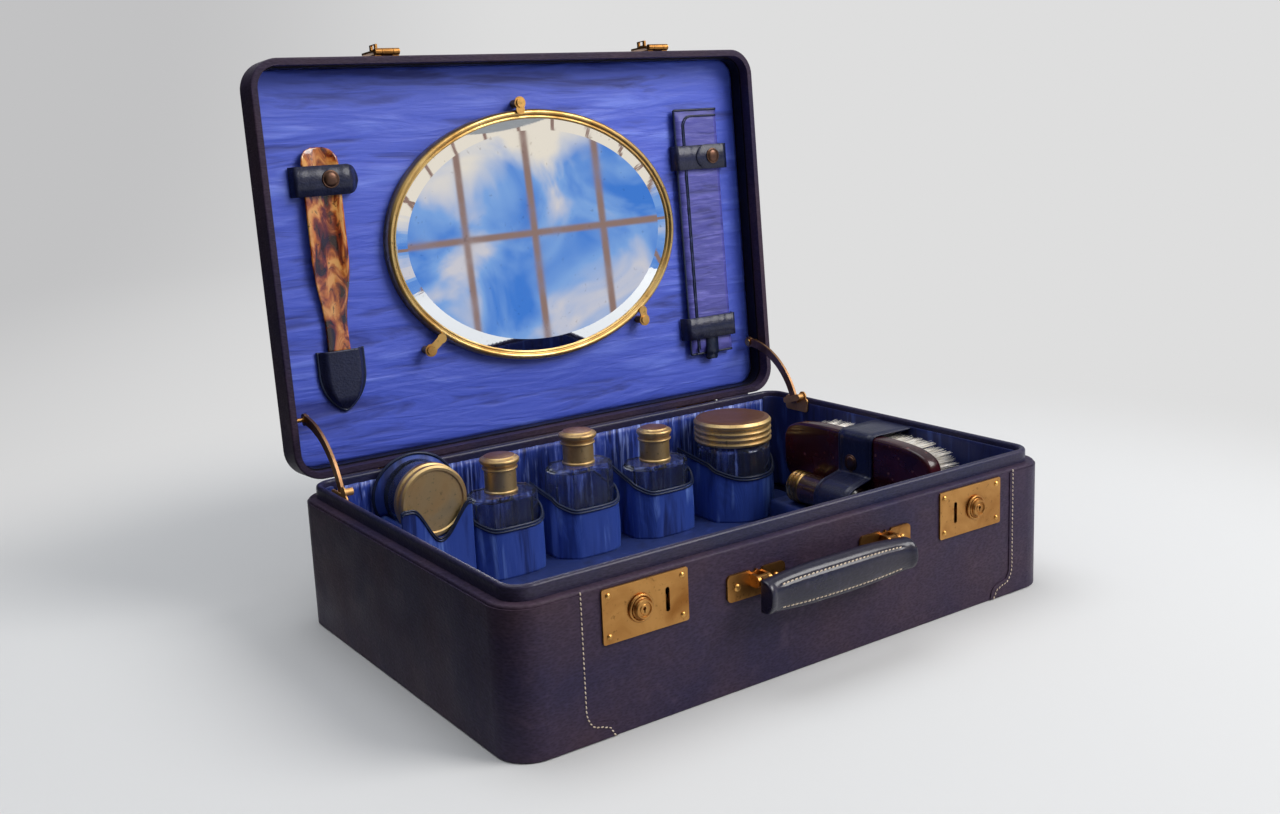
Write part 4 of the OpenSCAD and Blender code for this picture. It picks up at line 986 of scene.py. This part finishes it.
POCKET_X, POCKET_TOP = -162.2, 56.5
pocket_rows = []
for y in np.linspace(POCKET_TOP, 99.0, 34):
    fall = y - 72.5
    pocket_rows.append((y, 16.7 if fall <= 0 else max(0.25, math.sqrt(900 - fall ** 2) - 13.3)))
pocket_points = []
for y, half in pocket_rows:
    for v in np.linspace(-1, 1, 25):
        inside = ease((1 - abs(v)) / 0.34) * ease((99.2 - y) / 9)
        dome = 1.4 + 4.4 * inside + 0.5 * math.cos(v * 1.5) * inside
        pocket_points.append((POCKET_X + half * v, y, SILK_Z - dome + 0.1 * wander(v * 3,
            y * 0.1)))
make_piece("pocket_shell", pocket_points, grid_faces(len(pocket_rows), 25), strap_leather,
    "lid", "horn_pocket", thick=0.8)
hem_line = evenly([(POCKET_X - half, y, SILK_Z - 1.1) for y, half in pocket_rows] +
    [(POCKET_X + half, y, SILK_Z - 1.1) for y, half in pocket_rows[::-1]], 1.2)
inner_hem = [(POCKET_X + (x - POCKET_X) * 0.86, POCKET_TOP + (y - POCKET_TOP) * 0.955,
    SILK_Z - 1.7) for x, y, z in hem_line]
make_piece("pocket_piping", *together(cord_points(hem_line, 1.15), cord_points(inner_hem, 0.6)),
    piping_leather, "lid")

# %% [markdown]
# ## Press studs
# The studs are turned bronze buttons: a thin flange, a groove and a low dome.
# A turned part is one outline of radius and height, swept round its axis.

# %% Studs
TURN_STEPS = 40
BUTTON = [(0.02, 0), (6.1, 0), (6.3, 0.35), (6.1, 0.75), (5.5, 0.85), (5.3, 0.7), (5.1, 0.95),
    (4.6, 1.45), (3.6, 1.85), (2.2, 2.1), (0.8, 2.18), (0.02, 2.2)]
button_points = [(r * math.cos(a), r * math.sin(a), h) for r, h in BUTTON
    for a in full_circle(TURN_STEPS)]
button_faces = grid_faces(len(BUTTON), TURN_STEPS, True, True)


def at(points, move, turn=Matrix.Identity(3)):
    return [turn @ Vector(p) + Vector(move) for p in points]


upside, to_left = Matrix.Rotation(math.pi, 3, "X"), Matrix.Rotation(-math.pi / 2, 3, "Y")
make_piece("lid_buttons", *together(
    (at(button_points, (-157.3, -60.4, SILK_Z - 7.0), upside), button_faces),
    (at(button_points, (171.5, -57.4, SILK_Z - 9.2), upside), button_faces)),
    stud_bronze, "lid", "lid_studs")
make_piece("strap_button", at(button_points, (158.1, -6, 67.8), to_left), button_faces,
    stud_bronze, "case", "strap_stud")

# %% [markdown]
# ## The slim sleeve
# A flat silk pouch, bound with navy leather down its left side and across its top, held by the
# two bands. Its silk is ruched: short crosswise puckers where it was drawn in at the sides.
# A small leather pull hangs from its lower end.

# %% Sleeve
SX, SY, SW, SL = 160.3, 4.0, 44.4, 200.0
SLEEVE_ROWS, SLEEVE_COLS = 130, 26
sleeve_points = []
for front in (True, False):
    for i in range(SLEEVE_ROWS + 1):
        y = SY - SL / 2 + 1 + (SL - 2) * i / SLEEVE_ROWS
        for j in range(SLEEVE_COLS + 1):
            v = 2 * j / SLEEVE_COLS - 1
            edge = ease((1 - abs(v)) / 0.16) * ease(min(i, SLEEVE_ROWS - i) / 5)
            ruche = 0.9 * wander(v * 1.2, y * 0.16, 2) + 0.4 * wander(v * 3, y * 0.4, 6)
            drop = 3.9 + 2.1 * edge + 0.75 * ruche * edge * (1 - 0.5 * abs(v)) if front else \
                3.6 - 2.4 * edge
            sleeve_points.append((SX + (SW / 2 - 0.9) * v, y, SILK_Z - min(drop, 7.1)))
sleeve = make_piece("silk_sleeve", sleeve_points, two_sided(SLEEVE_ROWS + 1, SLEEVE_COLS + 1),
    sleeve_silk, "sleeve", "comb_sleeve")
left, right_side = SX - SW / 2 + 0.9, SX + SW / 2 - 0.9
top, low = SY - SL / 2 + 0.9, SY + SL / 2 - 0.9
outer_cord = evenly([(x, y, SILK_Z - 3.8) for x, y in ((right_side, low), (left, low),
    (left, top), (right_side, top))], 1.6)
inner_path = [(left + 6.2, low - 1)] + arc(left + 14.2, top + 13, 8, 180, 270, 10) + \
    [(right_side - 2.1, top + 5)]
inner_cord = [(x, y, SILK_Z - 6.1) for x, y in evenly(inner_path, 1.6)]
second_cord = [(x + 1.7, y + 0.3, SILK_Z - 6.0) for x, y, z in inner_cord[2:-1]]
pull_line = [(SX - 1, y, SILK_Z - 6.6 + 1.6 * ease((y - 102) / 4))
    for y in np.linspace(88, 108.6, 20)]
pull_half = [6.0 - 1.6 * ease((y - 107) / 1.6) for x, y, z in pull_line]
make_piece("sleeve_edges", *together(cord_points(outer_cord, 1.0), cord_points(inner_cord, 0.8),
    cord_points(second_cord, 0.55), band(pull_line, (1, 0, 0), pull_half, 1.3)),
    piping_leather, "sleeve")

# %% [markdown]
# ## The shoehorn
# A shoehorn is a shell cut from one sheet: its width changes along its length and its section
# is an arc. Both follow simple tables, so the blade is a grid whose width is read from the
# table, thinned towards its rim.

# %% Shoehorn
HORN = [(0, 4.5), (0.004, 6.6), (0.012, 9.2), (0.025, 11.2), (0.045, 12.9), (0.07, 13.5),
    (0.42, 13.6), (0.5, 13.2), (0.57, 11.6), (0.64, 9.4), (0.7, 8.2), (0.78, 8.0), (0.9, 8.9),
    (0.97, 7.9), (1, 5)]
HORN_X, HORN_TOP, HORN_LONG = -163.2, -82.5, 168.0
horn_t = np.linspace(0, 1, 90) ** 1.15
horn_w = np.interp(horn_t, [h[0] for h in HORN], [h[1] for h in HORN])
for _ in range(5):
    horn_w[14:-1] = (horn_w[13:-2] + 2 * horn_w[14:-1] + horn_w[15:]) / 4
horn_points = []
for t, half in zip(horn_t, horn_w):
    for v, face in [(v, 0) for v in np.linspace(-1, 1, 19)] + [(v, 1) for v in
            np.linspace(1, -1, 19)]:
        x = half * v
        deep = SILK_Z - 22.1 + math.sqrt(21.5 ** 2 - x * x)
        thick = 2.5 * (1 - 0.75 * abs(v) ** 3) * min(1, 8 * t + 0.35)
        horn_points.append((HORN_X + x, HORN_TOP + t * HORN_LONG, max(deep - face * thick,
            SILK_Z - 5.35)))
make_piece("horn_shell", horn_points, grid_faces(90, 38, True, True), tortoiseshell, "horn",
    "shoehorn")

# %% [markdown]
# ## Mirror frame and glass
# The frame is a moulding bent into an oval: a full bead outside and a thin one against the
# glass. The glass is 3 mm plate with a broad bevel. The bevel is flat shaded on purpose,
# because its crisp inner line is what catches the light.

# %% Mirror
MIRROR_Y, FRAME_STEPS, GLASS_STEPS = -8, 180, 240
# distance in from the frame's outer oval, and height off the silk
MOULDING = [(0, 0), (0, 5.2), (0.25, 6.4), (0.8, 7.4), (1.6, 8.1), (2.6, 8.4), (3.6, 8.15),
    (4.4, 7.4), (4.8, 6.75), (5.05, 6.6), (5.3, 6.85), (5.8, 7.1), (6.4, 6.95), (6.85, 6.4),
    (7, 5.95), (5.5, 5.85), (5.5, 0)]
frame_points = [((125 - inset) * math.cos(t), (93.5 - inset) * math.sin(t), SILK_Z - rise)
    for inset, rise in MOULDING for t in full_circle(FRAME_STEPS)]
make_piece("mirror_moulding", at(frame_points, (FIT_X, MIRROR_Y, 0)),
    grid_faces(len(MOULDING), FRAME_STEPS, True, closed=True), frame_brass, "lid", "mirror_frame")
glass_points = [(FIT_X + a * math.cos(t), MIRROR_Y + b * math.sin(t), z) for a, b, z in
    ((109.4, 77.9, 100.5), (119.4, 87.9, 101.45), (119.4, 87.9, 103.4))
    for t in full_circle(GLASS_STEPS)]
make_piece("mirror_plate", glass_points, grid_faces(3, GLASS_STEPS, True, True), looking_glass,
    "lid", "mirror_glass", smooth=False)
print("lid fittings made")

# %% [markdown]
# ## The lid's back edge
# When the lid is open a line of daylight would show between it and the case. On the real box
# the leather is turned over the lid's back edge in a small roll that closes the line. The
# roll stops at the hinges, whose knuckles fill the rest.

# %% Rolled edge
roll_section = [(140.3, 90.6), (140.3, 87.6)] + arc(141.9, 88.3, 0.72, -90, 90, 7) + \
    [(140.9, 89.6)]
make_piece("lid_back_roll", *together(*[
    ([(x, y, z) for x in np.linspace(start, end, 8) for y, z in roll_section],
    grid_faces(8, len(roll_section), True, True))
    for start, end in ((-183, -151.6), (-108.4, 108.4), (151.6, 183))]), case_leather, "lid")

# %% [markdown]
# ## The brush
# The back is turned-looking: a fuller-than-oval plate with softly rounded edges. Its outline is
# laid in a stack, each a little larger or smaller than the last, which rounds the edge evenly.

# %% Brush back
BRUSH_STEPS, BRUSH_Y, BRUSH_Z = 140, -5.5, 64.2


def brush_ring(inset):
    return oval(76.5 - inset, 25.3 - inset, 4.4, BRUSH_STEPS)


brush_levels = [((9,), 0.02), ((3.2,), 0.1), ((1.7,), 0.35), ((0.8,), 0.9), ((0.25,), 1.6),
    ((0.0,), 2.6), ((0.0,), 9.9), ((0.2,), 10.9), ((0.8,), 11.6), ((1.8,), 12.0)]
upright = Matrix(((0, 0, 1), (1, 0, 0), (0, 1, 0)))
brush_points, brush_faces = stack(brush_ring, brush_levels, BRUSH_STEPS)
make_piece("brush_body", at(brush_points, (160, BRUSH_Y, BRUSH_Z), upright), brush_faces,
    maroon_lacquer, "clothes_brush", "brush_back")

# %% [markdown]
# ## Geometry Nodes for what repeats
# Bristles and stitches repeat hundreds of times, so a small node tree plants them. One tree
# takes points that carry a direction, sets a copy of a little form on each, gives it its own
# chance turn and size, makes the copies real and paints them. The tree's inputs are named,
# and the seed is fixed, so every run gives the same brush.

# %% Planting tree
def planting_tree():
    tree = bpy.data.node_groups.new("plant_on_points", "GeometryNodeTree")
    face = tree.interface
    face.new_socket("Geometry", in_out="OUTPUT", socket_type="NodeSocketGeometry")
    face.new_socket("Geometry", in_out="INPUT", socket_type="NodeSocketGeometry")
    for name, kind in (("Form", "NodeSocketObject"), ("Size wander", "NodeSocketFloat"),
            ("Lean wander", "NodeSocketFloat"), ("Seed", "NodeSocketInt"),
            ("Finish", "NodeSocketMaterial")):
        face.new_socket(name, in_out="INPUT", socket_type=kind)
    into = tree.nodes.new("NodeGroupInput").outputs
    form = add_node(tree, "GeometryNodeObjectInfo", {"Object": into["Form"]}, "Geometry")
    way, side = [add_node(tree, "GeometryNodeInputNamedAttribute", {"Name": name},
        data_type="FLOAT_VECTOR") for name in ("way", "side")]
    jitter = add_node(tree, "FunctionNodeRandomValue", {0: (-1, -1, -1), 1: (1, 1, 1),
        "Seed": into["Seed"]}, data_type="FLOAT_VECTOR")
    jitter = add_node(tree, "ShaderNodeVectorMath", {0: jitter, "Scale": into["Lean wander"]},
        operation="SCALE")
    lean = add_node(tree, "ShaderNodeVectorMath", {0: way, 1: jitter})
    stand = add_node(tree, "FunctionNodeAlignRotationToVector", {"Vector": lean}, axis="Z")
    twist = add_node(tree, "FunctionNodeAlignRotationToVector", {"Rotation": stand,
        "Vector": side}, axis="X", pivot_axis="Z")
    least = add_node(tree, "ShaderNodeMath", {0: 1.0, 1: into["Size wander"]},
        operation="SUBTRACT")
    size = add_node(tree, "FunctionNodeRandomValue", {2: least, 3: 1.0, "Seed": into["Seed"]}, 1)
    plants = add_node(tree, "GeometryNodeInstanceOnPoints", {"Points": into["Geometry"],
        "Instance": form, "Rotation": twist, "Scale": size})
    real = add_node(tree, "GeometryNodeRealizeInstances", {0: plants})
    painted = add_node(tree, "GeometryNodeSetMaterial", {"Geometry": real,
        "Material": into["Finish"]})
    tree.links.new(painted, tree.nodes.new("NodeGroupOutput").inputs[0])
    return tree


PLANT, PLANT_SEED = planting_tree(), 3
SOCKETS = {item.name: item.identifier for item in PLANT.interface.items_tree
    if item.item_type == "SOCKET" and item.in_out == "INPUT"}


def planted(name, spots, ways, sides, form, finish, body, *stands_for, size_wander=0.0,
            lean_wander=0.0):
    """Plants the form on each spot, standing along its way and turned to its side."""
    piece = smooth_mesh(name, spots, [], TO_METRES)
    for label, values in (("way", ways), ("side", sides)):
        flat = np.array([tuple(Vector(v).normalized()) for v in values], np.float32).ravel()
        held = piece.data.attributes.new(label, "FLOAT_VECTOR", "POINT")
        held.data.foreach_set("vector", flat)
    plant = piece.modifiers.new("planting", "NODES")
    plant.node_group = PLANT
    for socket, value in (("Form", form), ("Size wander", size_wander), ("Lean wander",
            lean_wander), ("Seed", PLANT_SEED), ("Finish", finish)):
        plant[SOCKETS[socket]] = value
    dress(bake(piece), finish, body, stands_for)
    print(name, len(spots), "planted,", len(piece.data.polygons), "faces")


def form_of(name, points, faces):
    """A little form for planting. It is taken out of the scene again after use."""
    form = smooth_mesh(name, points, faces, TO_METRES)
    form.hide_render = form.hide_viewport = True
    return form


# %% [markdown]
# ## Bristles
# Each drilled hole holds a tuft of stiff white hairs that fans out a little, more at the rim
# of the brush. A hair is a three-sided spike of seven faces, so thousands of them stay light.

# %% Bristle field
rng = random.Random(11)
HAIR = ((0.2, 0, 0), (0.24, 12, 0.2), (0.11, 22.6, 0.4))  # radius, height, twist
hair = form_of("hair_form", [(r * math.cos(a + twist), r * math.sin(a + twist), h)
    for r, h, twist in HAIR for a in (0, 2.1, 4.2)], grid_faces(3, 3, True, True))
spots, ways = [], []
for i in range(40):
    for j in range(13):
        across, high = (i - 19.5) * 137 / 39, (j - 6) * 38.6 / 12
        if abs(2 * across / 143) ** 3.2 + abs(2 * high / 43.6) ** 3.2 < 1:
            lean_y, lean_z = 0.0022 * across, 0.0035 * high
            for _ in range(8):
                dy, dz = rng.uniform(-0.75, 0.75), rng.uniform(-0.75, 0.75)
                spots.append((172.6, BRUSH_Y + across + dy, BRUSH_Z + high + dz))
                ways.append((1, lean_y + 0.03 * dy, lean_z + 0.03 * dz))
planted("bristle_field", spots, ways, [(0, 0, 1)] * len(spots), hair, bristle_white,
    "clothes_brush", "brush_bristles", size_wander=0.09, lean_wander=0.035)
pad_levels = [((3.2,), 0), ((1.7,), 0.1), ((1.7,), 1.2), ((2.4,), 1.4)]
pad_points, pad_faces = stack(brush_ring, pad_levels, BRUSH_STEPS)
make_piece("bristle_pad", at(pad_points, (172, BRUSH_Y, BRUSH_Z), upright), pad_faces,
    maroon_lacquer, "clothes_brush")

# %% [markdown]
# ## The handle's grip
# The grip is a padded roll of leather, stitched along both edges and flared at its ends where
# the brass eyes come through. Its section is flat behind and swells in front, with a dent
# along each row of stitches.

# %% Grip
def grip_half(t):
    return 12.5 - 3.6 * t ** 3 + 0.9 * t ** 12


def grip_thick(t):
    return 10 - 2 * t ** 2 + 3.2 * t ** 10


GRIP_Z, GRIP_Y, STITCH_V = 59.0, -152.2, 0.44


def grip_spot(t, u, lift=0.0):
    """Point on the grip's skin: t along it from -1 to 1, u round its front from -1 to 1."""
    a = abs(t)
    angle = u * math.pi / 2
    rise = grip_thick(a) * max(0.0, math.cos(angle)) ** 0.62
    dent = 0.75 * math.exp(-((abs(u) - STITCH_V) / 0.05) ** 2) * (1 - ease((a - 0.78) / 0.1))
    lip = 0.5 * math.exp(-((a - 0.955) / 0.02) ** 2)
    return (FIT_X + t * 58, GRIP_Y - rise + dent - lip - lift,
        GRIP_Z + grip_half(a) * math.sin(angle) * (1 + 0.02 * lip))


grip_points = []
grip_marks = np.concatenate([[-1.0, -0.998, -0.99], np.linspace(-0.975, 0.975, 88),
    [0.99, 0.998, 1.0]])
for t in grip_marks:
    shrink = {1.0: 0.8, 0.998: 0.93, 0.99: 0.985}.get(round(abs(t), 3), 1.0)
    row = [grip_spot(t, u) for u in np.linspace(-1, 1, 61)]
    row += [(row[-1][0], GRIP_Y - 0.05, GRIP_Z + grip_half(abs(t)) * v)
        for v in (0.8, 0.3, -0.3, -0.8)]
    grip_points += [(x, GRIP_Y - 5 + (y - GRIP_Y + 5) * shrink, GRIP_Z + (z - GRIP_Z) * shrink)
        for x, y, z in row]
grip = make_piece("padded_grip", grip_points, grid_faces(len(grip_marks), 65, True, True),
    grip_leather, "handle", "handle_grip")

# %% [markdown]
# ## Stitches
# Cream linen thread, about eight stitches to the inch, a little slanted. A stitch is a small
# grain-shaped bead, lowest at its ends. Rows run down the edge of each end cover to its ogee
# foot, front and back, and along both sides of the grip.

# %% Stitch rows
def stitch_form(name, size):
    points = [(size * s, size * 0.46 * math.sin(math.pi * f) * math.cos(a),
        size * (0.42 * math.sin(math.pi * f) * math.sin(a) + 0.12))
        for s, f in ((-1, 0.06), (-0.7, 0.3), (0, 0.5), (0.7, 0.7), (1, 0.94))
        for a in full_circle(6)]
    return form_of(name, points, grid_faces(5, 6, True, True))


bead, big_bead = stitch_form("stitch_form", 1.0), stitch_form("grip_stitch_form", 1.3)


def stitch_row(line, outward, spacing):
    """Spots, outward ways and slanted sides for one row of stitches."""
    line = evenly(line, spacing)
    run = np.gradient(line, axis=0)
    way = Vector(outward)
    sides = [Matrix.Rotation(math.radians(13), 3, way) @ Vector(r) for r in run]
    return list(line), [way] * len(line), sides


def stitches(name, rows, form, body):
    spots, ways, sides = [sum((row[k] for row in rows), []) for k in range(3)]
    planted(name, spots, ways, sides, form, thread, body, size_wander=0.12)


FOOT = ((170.4, 86), (170.4, 52), (170.4, 18), (168.6, 12.8), (165.6, 9.4), (160.5, 8.2),
    (155.6, 6.2), (152.9, 1.6))
stitches("case_stitches", [stitch_row([(FIT_X + s * x, facing * 141.28, z) for x, z in FOOT],
    (0, facing, 0), 2.75) for facing in (-1, 1) for s in (-1, 1)], bead, "case")
stitches("grip_stitches", [stitch_row([grip_spot(t, u, -0.1) for t in
    np.linspace(-0.8, 0.8, 60)], (0, -math.cos(u * 1.35), math.sin(u * 1.35)), 3.1)
    for u in (STITCH_V, -STITCH_V)], big_bead, "handle")
for form in (hair, bead, big_bead):
    bpy.data.objects.remove(form)
print("brush, grip and stitches made")

# %% [markdown]
# ## Rings round the lock buttons
# Each lock button sits in a rolled brass ring that slides with it. The ring is turned like
# the studs: a narrow foot, a full bead and a step down to the button.

# %% Button rings
RING = [(6.15, 0), (7.5, 0), (8.0, 0.35), (8.1, 0.9), (7.8, 1.45), (7.2, 1.7), (6.7, 1.5),
    (6.5, 1.0), (6.15, 0.95)]
ring_points = [(r * math.cos(a), -h, r * math.sin(a)) for r, h in RING for a in full_circle(48)]
for name, s in (("left", -1), ("right", 1)):
    make_piece("button_ring_" + name, at(ring_points, (FIT_X + s * 133, -141.85, 69)),
        grid_faces(len(RING), 48, True, closed=True), lock_brass, "lock_button_" + name)
print("rings turned")
